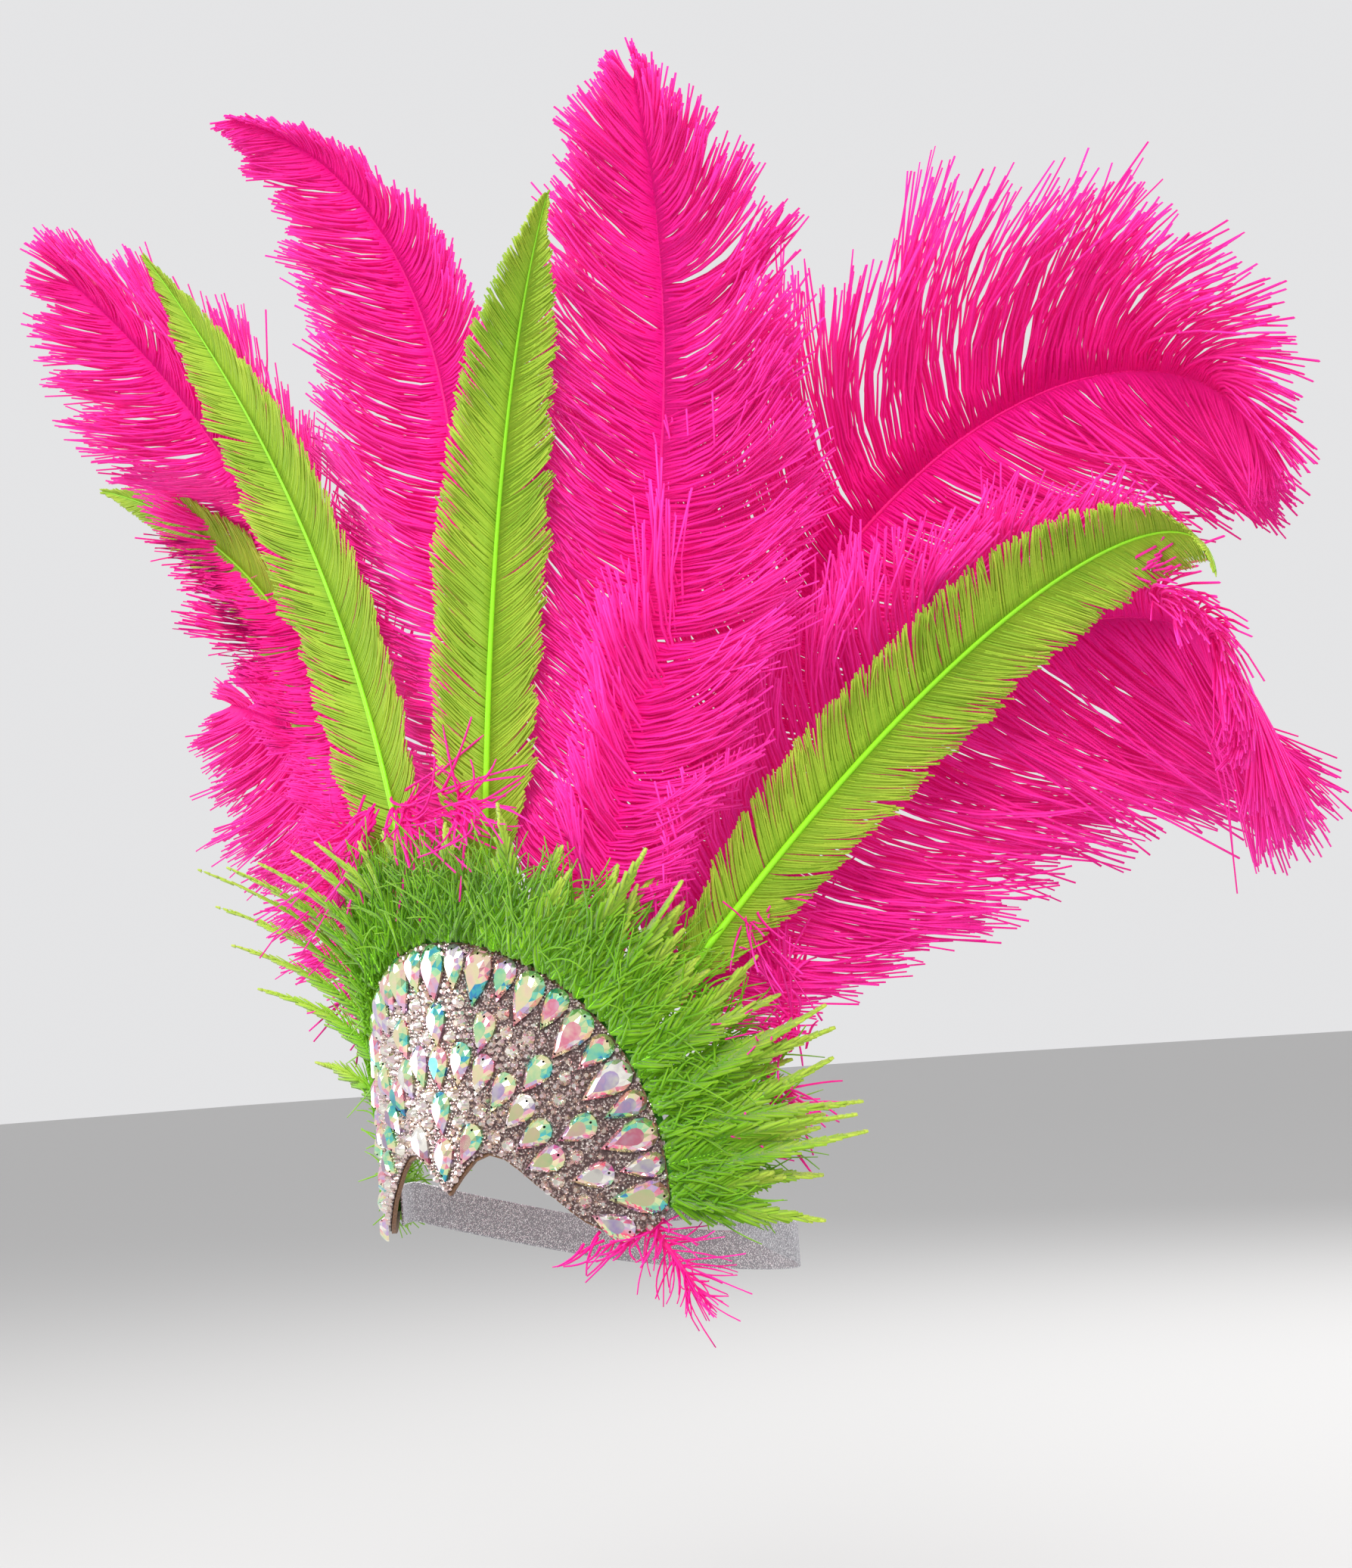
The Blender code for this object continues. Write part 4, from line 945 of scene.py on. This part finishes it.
def bed_sheet(materials):
    """Ground of the bed: the fan less its margin, a closed sheet that stands for the crust."""
    across = (FAN_SIDE_REACH - BED_MARGIN) * np.sin(np.radians(np.linspace(-90, 90, 81)))
    top = fan_top(across * FAN_SIDE_REACH / (FAN_SIDE_REACH - BED_MARGIN)) - BED_MARGIN
    bottom = np.minimum(fan_bottom(across) + BED_MARGIN, top - 0.001)
    rows = []
    for share in np.linspace(0, 1, 9):
        rows.append(wrap(across, bottom + share * (top - bottom), TOUCH_GAP + BED_WALL))
    for share in (1, 0):
        rows.append(wrap(across, bottom + share * (top - bottom), TOUCH_GAP))
    grid = np.stack(rows)
    piece = add_piece(
        "bed_ground", grid.reshape(-1, 3), closed_grid(grid), materials["bed_ground"],
        smooth=False,
    )
    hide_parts("stone_bed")


def band_line():
    """Middle line of the elastic: inside one end of the plate, round the head, to the other end."""
    lap_radius = PLATE_RADIUS - PLATE_WALL - COLLAR_ROOT_WALL - 2 * TOUCH_GAP - 0.5 * BAND_THICKNESS
    end_turn = FAN_SIDE_REACH / PLATE_RADIUS
    lap_turns = end_turn - np.array([BAND_LAP, 0.5 * BAND_LAP, BAND_LAP_END]) / PLATE_RADIUS
    lap = np.stack([lap_radius * np.sin(lap_turns), CYLINDER_Y - lap_radius * np.cos(lap_turns)], axis=1)
    head = np.array([HEAD_HALF_WIDTH, HEAD_HALF_LENGTH]) + TOUCH_GAP + 0.5 * BAND_THICKNESS
    turns = np.radians(BAND_HEAD_TURNS)
    round_head = np.stack([head[0] * np.cos(turns), head[1] * np.sin(turns)], axis=1)
    leave = np.array([np.cos(end_turn), np.sin(end_turn)])
    inward = np.array([-np.sin(end_turn), np.cos(end_turn)])
    shoulder = lap[-1] + BAND_SHOULDER * (leave + BAND_TURN_IN[0] * inward)
    turn_in = lap[-1] + 2 * BAND_SHOULDER * (leave + BAND_TURN_IN[1] * inward)
    half = np.concatenate([lap, [shoulder, turn_in], round_head])
    reach = np.concatenate([[0], np.cumsum(np.hypot(*np.diff(half, axis=0).T))])
    share = reach / reach[-1]
    at = np.linspace(0, 1, BAND_STEPS + 1)
    plan = np.stack([smooth_curve(at, list(zip(share, half[:, k]))) for k in (0, 1)], axis=1)
    fall = np.clip((at - BAND_DROP_START) / (1 - BAND_DROP_START), 0, 1)
    right = np.column_stack([plan, BAND_END_Z - BAND_BACK_DROP * np.sin(0.5 * np.pi * fall) ** 1.2])
    return np.concatenate([right, right[-2::-1] * (-1, 1, 1)])


def elastic_band(materials):
    """Flat elastic: its section, with shallow ribs along both faces, carried along the band's line."""
    line = band_line()
    along = unit(np.gradient(line, axis=0))
    outward = unit(np.cross(along, (0, 0, 1)))
    upward = np.cross(outward, along)
    level = np.linspace(-0.5, 0.5, 2 * BAND_RIBS + 1)
    rib = 0.5 * BAND_THICKNESS * (0.84 + 0.16 * np.cos(2 * np.pi * BAND_RIBS * level))
    section = np.concatenate([np.stack([rib, level], axis=1), np.stack([-rib, level], axis=1)[::-1]])
    grid = line + section[:, :1, None] * outward + BAND_WIDTH * section[:, 1:, None] * upward
    run = np.concatenate([[0], np.cumsum(np.linalg.norm(np.diff(line, axis=0), axis=1))])
    uvs = np.stack([
        np.broadcast_to(run, grid.shape[:2]), np.broadcast_to(BAND_WIDTH * section[:, 1:], grid.shape[:2])
    ], axis=-1).reshape(-1, 2)
    piece = add_piece(
        "elastic", grid.reshape(-1, 3), closed_grid(grid), materials["elastic"], uvs=uvs
    )
    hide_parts("elastic_band")


# Materials

def node_group(name, inputs, outputs):
    """Empty shader node group with its inputs (name, kind, value) and outputs (name, kind)."""
    group = bpy.data.node_groups.new(name, "ShaderNodeTree")
    for label, kind, value in inputs:
        socket = group.interface.new_socket(name=label, in_out="INPUT", socket_type=kind)
        socket.default_value = value
    for label, kind in outputs:
        group.interface.new_socket(name=label, in_out="OUTPUT", socket_type=kind)
    return group, group.nodes.new("NodeGroupInput"), group.nodes.new("NodeGroupOutput")


def add_node(tree, kind, settings=(), values=()):
    """Node with its settings (name, value) and the values of its inputs (socket, value)."""
    node = tree.nodes.new(kind)
    for label, value in settings:
        setattr(node, label, value)
    for socket, value in values:
        node.inputs[socket].default_value = value
    return node


def wire(tree, source, output, target, socket):
    """Link an output of one node to an input of another."""
    tree.links.new(source.outputs[output], target.inputs[socket])


def ramp(tree, stops):
    """Colour ramp from stops (place, colour)."""
    node = tree.nodes.new("ShaderNodeValToRGB")
    while len(node.color_ramp.elements) < len(stops):
        node.color_ramp.elements.new(0.5)
    for element, (place, colour) in zip(node.color_ramp.elements, stops):
        element.position = place
        element.color = (*colour, 1.0)
    return node


def strand_tone():
    """Colour of a strand: root to tip colour along it, darker or lighter by its lot, and mottled by
    noise in the object's space."""
    group, given, result = node_group(
        "strand_tone",
        [("Root", "NodeSocketColor", (0, 0, 0, 1)), ("Tip", "NodeSocketColor", (1, 1, 1, 1)),
         ("Shade", "NodeSocketColor", (0, 0, 0, 1)), ("Lot Share", "NodeSocketFloat", 0.3),
         ("Mottle Share", "NodeSocketFloat", 0.3)],
        [("Color", "NodeSocketColor"), ("Height", "NodeSocketFloat")],
    )
    reach = add_node(group, "ShaderNodeAttribute", [("attribute_name", "reach")])
    lot = add_node(group, "ShaderNodeAttribute", [("attribute_name", "lot")])
    place = add_node(group, "ShaderNodeTexCoord")
    mottle = add_node(group, "ShaderNodeTexNoise", values=[("Scale", 24.0), ("Detail", 3.0)])
    fibres = add_node(group, "ShaderNodeTexNoise", values=[("Scale", 900.0), ("Detail", 2.0)])
    wire(group, place, "Object", mottle, "Vector")
    wire(group, place, "Object", fibres, "Vector")
    along = add_node(group, "ShaderNodeMix", [("data_type", "RGBA")])
    wire(group, reach, "Fac", along, "Factor")
    wire(group, given, "Root", along, "A")
    wire(group, given, "Tip", along, "B")
    by_lot = add_node(group, "ShaderNodeMath", [("operation", "MULTIPLY")])
    wire(group, lot, "Fac", by_lot, 0)
    wire(group, given, "Lot Share", by_lot, 1)
    by_noise = add_node(group, "ShaderNodeMapRange", values=[("From Min", 0.35), ("From Max", 0.75)])
    wire(group, mottle, "Fac", by_noise, "Value")
    weighted = add_node(group, "ShaderNodeMath", [("operation", "MULTIPLY_ADD")])
    wire(group, by_noise, "Result", weighted, 0)
    wire(group, given, "Mottle Share", weighted, 1)
    wire(group, by_lot, 0, weighted, 2)
    shaded = add_node(group, "ShaderNodeMix", [("data_type", "RGBA")])
    wire(group, weighted, 0, shaded, "Factor")
    wire(group, along, "Result", shaded, "A")
    wire(group, given, "Shade", shaded, "B")
    wire(group, shaded, "Result", result, "Color")
    wire(group, fibres, "Fac", result, "Height")
    return group


def fine_grain():
    """Grain of skin or cloth: a cell pattern with soft noise, as a height and a mask of its pits."""
    group, given, result = node_group(
        "fine_grain",
        [("Scale", "NodeSocketFloat", 900.0), ("Softness", "NodeSocketFloat", 0.5)],
        [("Height", "NodeSocketFloat"), ("Mask", "NodeSocketFloat")],
    )
    place = add_node(group, "ShaderNodeTexCoord")
    cells = add_node(group, "ShaderNodeTexVoronoi", [("feature", "DISTANCE_TO_EDGE")])
    noise = add_node(group, "ShaderNodeTexNoise", values=[("Detail", 4.0)])
    for node in (cells, noise):
        wire(group, place, "Object", node, "Vector")
        wire(group, given, "Scale", node, "Scale")
    mix = add_node(group, "ShaderNodeMix", [("data_type", "FLOAT")])
    wire(group, given, "Softness", mix, "Factor")
    wire(group, cells, "Distance", mix, "A")
    wire(group, noise, "Fac", mix, "B")
    wire(group, mix, "Result", result, "Height")
    pits = add_node(group, "ShaderNodeMapRange", values=[("From Min", 0.0), ("From Max", 0.12)])
    wire(group, cells, "Distance", pits, "Value")
    wire(group, pits, "Result", result, "Mask")
    return group


def glints():
    """Glitter: small cells of which only the few above a threshold shine, with a random value each."""
    group, given, result = node_group(
        "glints",
        [("Scale", "NodeSocketFloat", 1500.0), ("Threshold", "NodeSocketFloat", 0.8)],
        [("Mask", "NodeSocketFloat"), ("Random", "NodeSocketFloat")],
    )
    place = add_node(group, "ShaderNodeTexCoord")
    cells = add_node(group, "ShaderNodeTexVoronoi")
    wire(group, place, "Object", cells, "Vector")
    wire(group, given, "Scale", cells, "Scale")
    split = add_node(group, "ShaderNodeSeparateColor")
    wire(group, cells, "Color", split, "Color")
    above = add_node(group, "ShaderNodeMath", [("operation", "GREATER_THAN")])
    wire(group, split, "Red", above, 0)
    wire(group, given, "Threshold", above, 1)
    wire(group, above, 0, result, "Mask")
    wire(group, split, "Green", result, "Random")
    return group


def new_material(name, **sockets):
    """Material with its Principled shader's own constant values."""
    material = bpy.data.materials.new(name)
    material.use_nodes = True
    shader = material.node_tree.nodes["Principled BSDF"]
    for label, value in sockets.items():
        shader.inputs[label.replace("_", " ").title().replace("Ior", "IOR")].default_value = value
    return material, material.node_tree, shader


def use_group(tree, group, **values):
    """Place a shared effect in a material with its own values."""
    node = tree.nodes.new("ShaderNodeGroup")
    node.node_tree = group
    for label, value in values.items():
        node.inputs[label.replace("_", " ").title()].default_value = value
    return node


def add_bump(tree, height, shader, strength, distance):
    """Bump from a height onto the shader's normal."""
    bump = add_node(tree, "ShaderNodeBump", values=[("Strength", strength), ("Distance", distance)])
    tree.links.new(height, bump.inputs["Height"])
    wire(tree, bump, "Normal", shader, "Normal")


# Painted light: the neon barbs glow a little in their own colour, which lifts the shade between them
SHADE_LIFTING_GLOW = 0.16


def strand_material(name, group, root, tip, shade, lot_share, mottle_share, roughness=0.7, sheen=0.25):
    """Feather barbs in their dye, with a painted glow in their own colour that lifts their shade."""
    material, tree, shader = new_material(name, roughness=roughness, sheen_weight=sheen, sheen_roughness=0.4)
    shader.inputs["Specular IOR Level"].default_value = 0.25
    shader.inputs["Sheen Tint"].default_value = (*tip, 1.0)
    tone = use_group(
        tree, group, root=(*root, 1), tip=(*tip, 1), shade=(*shade, 1), lot_share=lot_share,
        mottle_share=mottle_share,
    )
    wire(tree, tone, "Color", shader, "Base Color")
    # Painted light: the barbs glow in their own colour to lift their shade
    wire(tree, tone, "Color", shader, "Emission Color")
    shader.inputs["Emission Strength"].default_value = SHADE_LIFTING_GLOW
    add_bump(tree, tone.outputs["Height"], shader, 0.5, 0.0004)
    return material


def crystal_material(name, stops, roughness=0.06, metallic=0.85):
    """Foiled stone: each facet takes its tint from the ramp; the tints give the stone's own colour and its
    coating's play of colour, and are partly painted reflection, lighter and darker by the way that each facet
    faces.
    """
    material, tree, shader = new_material(name, roughness=roughness, metallic=metallic, coat_weight=0.6)
    shader.inputs["Coat Roughness"].default_value = 0.02
    tint = add_node(tree, "ShaderNodeAttribute", [("attribute_name", "tint")])
    place = add_node(tree, "ShaderNodeTexCoord")
    noise = add_node(tree, "ShaderNodeTexNoise", values=[("Scale", 160.0), ("Detail", 2.0)])
    wire(tree, place, "Object", noise, "Vector")
    shift = add_node(tree, "ShaderNodeMath", [("operation", "MULTIPLY_ADD")], [(1, 0.30), (2, -0.15)])
    wire(tree, noise, "Fac", shift, 0)
    total = add_node(tree, "ShaderNodeMath", [("operation", "ADD")])
    wire(tree, tint, "Fac", total, 0)
    wire(tree, shift, 0, total, 1)
    colours = ramp(tree, stops)
    wire(tree, total, 0, colours, "Fac")
    wire(tree, colours, "Color", shader, "Base Color")
    return material


def leatherette(group):
    """Brown leatherette with a fine grain and slightly darker pits."""
    material, tree, shader = new_material("leatherette", roughness=0.55)
    grain = use_group(tree, group, scale=700.0, softness=0.45)
    colours = ramp(tree, [(0.0, (0.10, 0.045, 0.02)), (1.0, (0.23, 0.115, 0.055))])
    wire(tree, grain, "Mask", colours, "Fac")
    wire(tree, colours, "Color", shader, "Base Color")
    add_bump(tree, grain.outputs["Height"], shader, 0.35, 0.0004)
    return material


def bed_ground(group):
    """Glue and fine glitter between the stones."""
    material, tree, shader = new_material("bed_ground", roughness=0.35, metallic=0.3)
    specks = use_group(tree, group, scale=1300.0, threshold=0.55)
    colours = ramp(tree, [
        (0.0, (0.07, 0.038, 0.038)), (0.4, (0.15, 0.095, 0.09)), (0.75, (0.34, 0.27, 0.25)),
        (1.0, (0.70, 0.64, 0.60)),
    ])
    mixed = add_node(tree, "ShaderNodeMath", [("operation", "MULTIPLY")])
    wire(tree, specks, "Mask", mixed, 0)
    wire(tree, specks, "Random", mixed, 1)
    wire(tree, mixed, 0, colours, "Fac")
    wire(tree, colours, "Color", shader, "Base Color")
    add_bump(tree, specks.outputs["Random"], shader, 0.6, 0.0006)
    return material


def elastic_weave(group):
    """Grey elastic with silver yarn: fine cross threads in the band's own UV map, and glints."""
    material, tree, shader = new_material("elastic", roughness=0.5, metallic=0.35)
    place = add_node(tree, "ShaderNodeUVMap")
    split = add_node(tree, "ShaderNodeSeparateXYZ")
    wire(tree, place, "UV", split, "Vector")
    threads = []
    for axis, rate in (("X", 5200.0), ("Y", 3600.0)):
        scaled = add_node(tree, "ShaderNodeMath", [("operation", "MULTIPLY")], [(1, rate)])
        wave = add_node(tree, "ShaderNodeMath", [("operation", "SINE")])
        wire(tree, split, axis, scaled, 0)
        wire(tree, scaled, 0, wave, 0)
        threads.append(wave)
    weave = add_node(tree, "ShaderNodeMath", [("operation", "MULTIPLY")])
    wire(tree, threads[0], 0, weave, 0)
    wire(tree, threads[1], 0, weave, 1)
    specks = use_group(tree, group, scale=2300.0, threshold=0.72)
    bright = add_node(tree, "ShaderNodeMath", [("operation", "MULTIPLY_ADD")], [(1, 0.14), (2, 0.42)])
    wire(tree, weave, 0, bright, 0)
    total = add_node(tree, "ShaderNodeMath", [("operation", "MULTIPLY_ADD")], [(1, 0.5)])
    wire(tree, specks, "Mask", total, 0)
    wire(tree, bright, 0, total, 2)
    colours = ramp(tree, [(0.0, (0.16, 0.16, 0.18)), (0.5, (0.38, 0.38, 0.41)), (1.0, (0.95, 0.95, 0.97))])
    wire(tree, total, 0, colours, "Fac")
    wire(tree, colours, "Color", shader, "Base Color")
    add_bump(tree, weave.outputs[0], shader, 0.5, 0.0002)
    return material


# Tints of the stones (place on the ramp, colour), from the painted shade in the drilled holes up to clear,
# with facets lit and darkened partly as painted reflection
COATING_AND_REFLECTION_TINTS = (
    (0.00, (0.02, 0.016, 0.016)), (0.09, (0.20, 0.16, 0.15)), (0.18, (0.03, 0.28, 0.62)),
    (0.26, (0.08, 0.56, 0.56)), (0.35, (0.34, 0.76, 0.42)), (0.46, (0.78, 0.86, 0.44)),
    (0.56, (0.94, 0.80, 0.50)), (0.64, (0.94, 0.66, 0.56)), (0.72, (0.86, 0.24, 0.36)),
    (0.80, (0.86, 0.50, 0.62)), (0.88, (0.56, 0.44, 0.74)), (0.95, (0.80, 0.76, 0.72)),
    (1.00, (0.97, 0.94, 0.86)),
)
ROUND_TINTS = (
    (0.00, (0.14, 0.09, 0.08)), (0.30, (0.42, 0.30, 0.25)), (0.48, (0.84, 0.68, 0.52)),
    (0.62, (0.72, 0.54, 0.62)), (0.76, (0.78, 0.78, 0.66)), (1.00, (0.98, 0.94, 0.86)),
)
SEED_TINTS = (
    (0.00, (0.10, 0.07, 0.07)), (0.30, (0.36, 0.25, 0.23)), (0.50, (0.76, 0.62, 0.52)),
    (0.64, (0.74, 0.55, 0.58)), (0.80, (0.70, 0.69, 0.64)), (1.00, (0.98, 0.93, 0.84)),
)


def make_materials():
    """Every finish by its name."""
    strands, grain, glitter = strand_tone(), fine_grain(), glints()
    return {
        "pink_plume": strand_material(
            "pink_plume", strands, (0.90, 0.004, 0.27), (1.0, 0.048, 0.46), (0.72, 0.0, 0.21), 0.45, 0.45,
        ),
        "plume_stem": strand_material(
            "plume_stem", strands, (0.80, 0.03, 0.24), (0.80, 0.0, 0.22), (0.50, 0.0, 0.12),
            0.2, 0.3, 0.4, 0.0,
        ),
        "green_quill": strand_material(
            "green_quill", strands, (0.26, 0.44, 0.02), (0.46, 0.58, 0.06), (0.14, 0.30, 0.01),
            0.5, 0.4, 0.55, 0.1,
        ),
        "quill_stem": strand_material(
            "quill_stem", strands, (0.32, 0.85, 0.02), (0.24, 0.62, 0.02), (0.22, 0.60, 0.02),
            0.2, 0.3, 0.35, 0.0,
        ),
        "green_hackle": hackle_material(strands),
        "crystal": crystal_material("crystal", COATING_AND_REFLECTION_TINTS),
        "round_crystal": crystal_material("round_crystal", ROUND_TINTS),
        "seed_crystal": crystal_material("seed_crystal", SEED_TINTS, roughness=0.12),
        "leatherette": leatherette(grain),
        "bed_ground": bed_ground(glitter),
        "elastic": elastic_weave(glitter),
        "collar_tape": tape_material(grain),
    }


def hackle_material(group):
    """Green hackle: deep green down, lighter yellow-green towards the feather tips (by the lot)."""
    material, tree, shader = new_material("green_hackle", roughness=0.7, sheen_weight=0.2)
    shader.inputs["Specular IOR Level"].default_value = 0.25
    tone = use_group(
        tree, group, root=(0.13, 0.38, 0.002, 1), tip=(0.22, 0.48, 0.005, 1), shade=(0.06, 0.21, 0.0, 1),
        lot_share=0.0, mottle_share=0.6,
    )
    lot = add_node(tree, "ShaderNodeAttribute", [("attribute_name", "lot")])
    by_tip = add_node(tree, "ShaderNodeMapRange", values=[("From Min", 0.35), ("From Max", 0.95)])
    wire(tree, lot, "Fac", by_tip, "Value")
    mix = add_node(tree, "ShaderNodeMix", [("data_type", "RGBA")], [("B", (0.46, 0.58, 0.07, 1))])
    wire(tree, by_tip, "Result", mix, "Factor")
    wire(tree, tone, "Color", mix, "A")
    wire(tree, mix, "Result", shader, "Base Color")
    # Painted light: the hackles glow in their own colour to lift their shade
    wire(tree, mix, "Result", shader, "Emission Color")
    shader.inputs["Emission Strength"].default_value = SHADE_LIFTING_GLOW
    add_bump(tree, tone.outputs["Height"], shader, 0.3, 0.0004)
    return material


def tape_material(group):
    """Woven green tape."""
    material, tree, shader = new_material("collar_tape", roughness=0.8)
    grain = use_group(tree, group, scale=1500.0, softness=0.3)
    colours = ramp(tree, [(0.0, (0.02, 0.13, 0.005)), (1.0, (0.06, 0.30, 0.02))])
    wire(tree, grain, "Mask", colours, "Fac")
    wire(tree, colours, "Color", shader, "Base Color")
    add_bump(tree, grain.outputs["Height"], shader, 0.4, 0.0004)
    return material


# Stage

def add_camera():
    """Camera of the photograph: its right and up ways make its turn."""
    data = bpy.data.cameras.new("camera")
    data.sensor_fit = "AUTO"
    data.sensor_width = SENSOR
    data.lens = SENSOR * FOCAL_PIXELS / FRAME_HEIGHT_PIXELS
    data.clip_end = 50
    camera = bpy.data.objects.new("camera", data)
    bpy.context.scene.collection.objects.link(camera)
    right, up = np.array(CAMERA_RIGHT), np.array(CAMERA_UP)
    turn = np.eye(4)
    turn[:3, 0], turn[:3, 1], turn[:3, 2] = right, up, np.cross(right, up)
    turn[:3, 3] = CAMERA_PLACE
    camera.matrix_world = Matrix(turn.tolist())
    bpy.context.scene.camera = camera


def add_light(name, place, size, power):
    """Square soft light that looks at the middle of the headdress."""
    data = bpy.data.lights.new(name, "AREA")
    data.size = size
    data.energy = power
    light = bpy.data.objects.new(name, data)
    bpy.context.scene.collection.objects.link(light)
    back = unit(np.array(place) - np.array((0.0, 0.0, 0.2)))
    right = unit(np.cross((0, 0, 1), back))
    turn = np.eye(4)
    turn[:3, 0], turn[:3, 1], turn[:3, 2], turn[:3, 3] = right, np.cross(back, right), back, place
    light.matrix_world = Matrix(turn.tolist())


def add_stage():
    """Pale floor, light-grey world and three soft lights."""
    mesh = bpy.data.meshes.new("floor")
    corners = [(x * FLOOR_REACH, y * FLOOR_REACH, FLOOR_Z) for x, y in ((-1, -1), (1, -1), (1, 1), (-1, 1))]
    mesh.from_pydata(corners, [], [(0, 1, 2, 3)])
    material, _, shader = new_material("floor", roughness=0.8)
    shader.inputs["Base Color"].default_value = (0.52, 0.515, 0.51, 1)
    mesh.materials.append(material)
    floor = bpy.data.objects.new("floor", mesh)
    bpy.context.scene.collection.objects.link(floor)
    world = bpy.data.worlds.new("studio")
    bpy.context.scene.world = world
    world.use_nodes = True
    world.node_tree.nodes["Background"].inputs["Color"].default_value = (0.78, 0.78, 0.79, 1)
    world.node_tree.nodes["Background"].inputs["Strength"].default_value = 1.0
    bpy.context.scene.view_settings.view_transform = "Standard"
    add_light("key", (2.2, -3.2, 2.5), 1.8, 165)
    add_light("fill", (-3.0, -2.4, 1.2), 2.8, 85)
    add_light("rim", (-0.8, 3.2, 2.6), 2.0, 100)


def build():
    """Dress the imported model."""
    add_camera()
    materials = make_materials()
    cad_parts["crown_plate"].data.materials.clear()
    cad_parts["crown_plate"].data.materials.append(materials["leatherette"])
    feathers = [dict(zip(FEATHER_COLUMNS, row)) for row in FEATHERS]
    quills = [feather for feather in feathers if feather["kind"] == "quill"]
    for number, feather in enumerate(feathers):
        feather_pieces(feather, quills, materials, np.random.default_rng(number))
    rng = np.random.default_rng(40)
    collar_tape(materials)
    hackle_collar(materials, rng)
    wisps(materials, rng)
    bed_sheet(materials)
    rim_stones(materials, rng)
    seed_stones(bed_stones(materials, rng), materials, rng)
    elastic_band(materials)
    add_stage()


build()
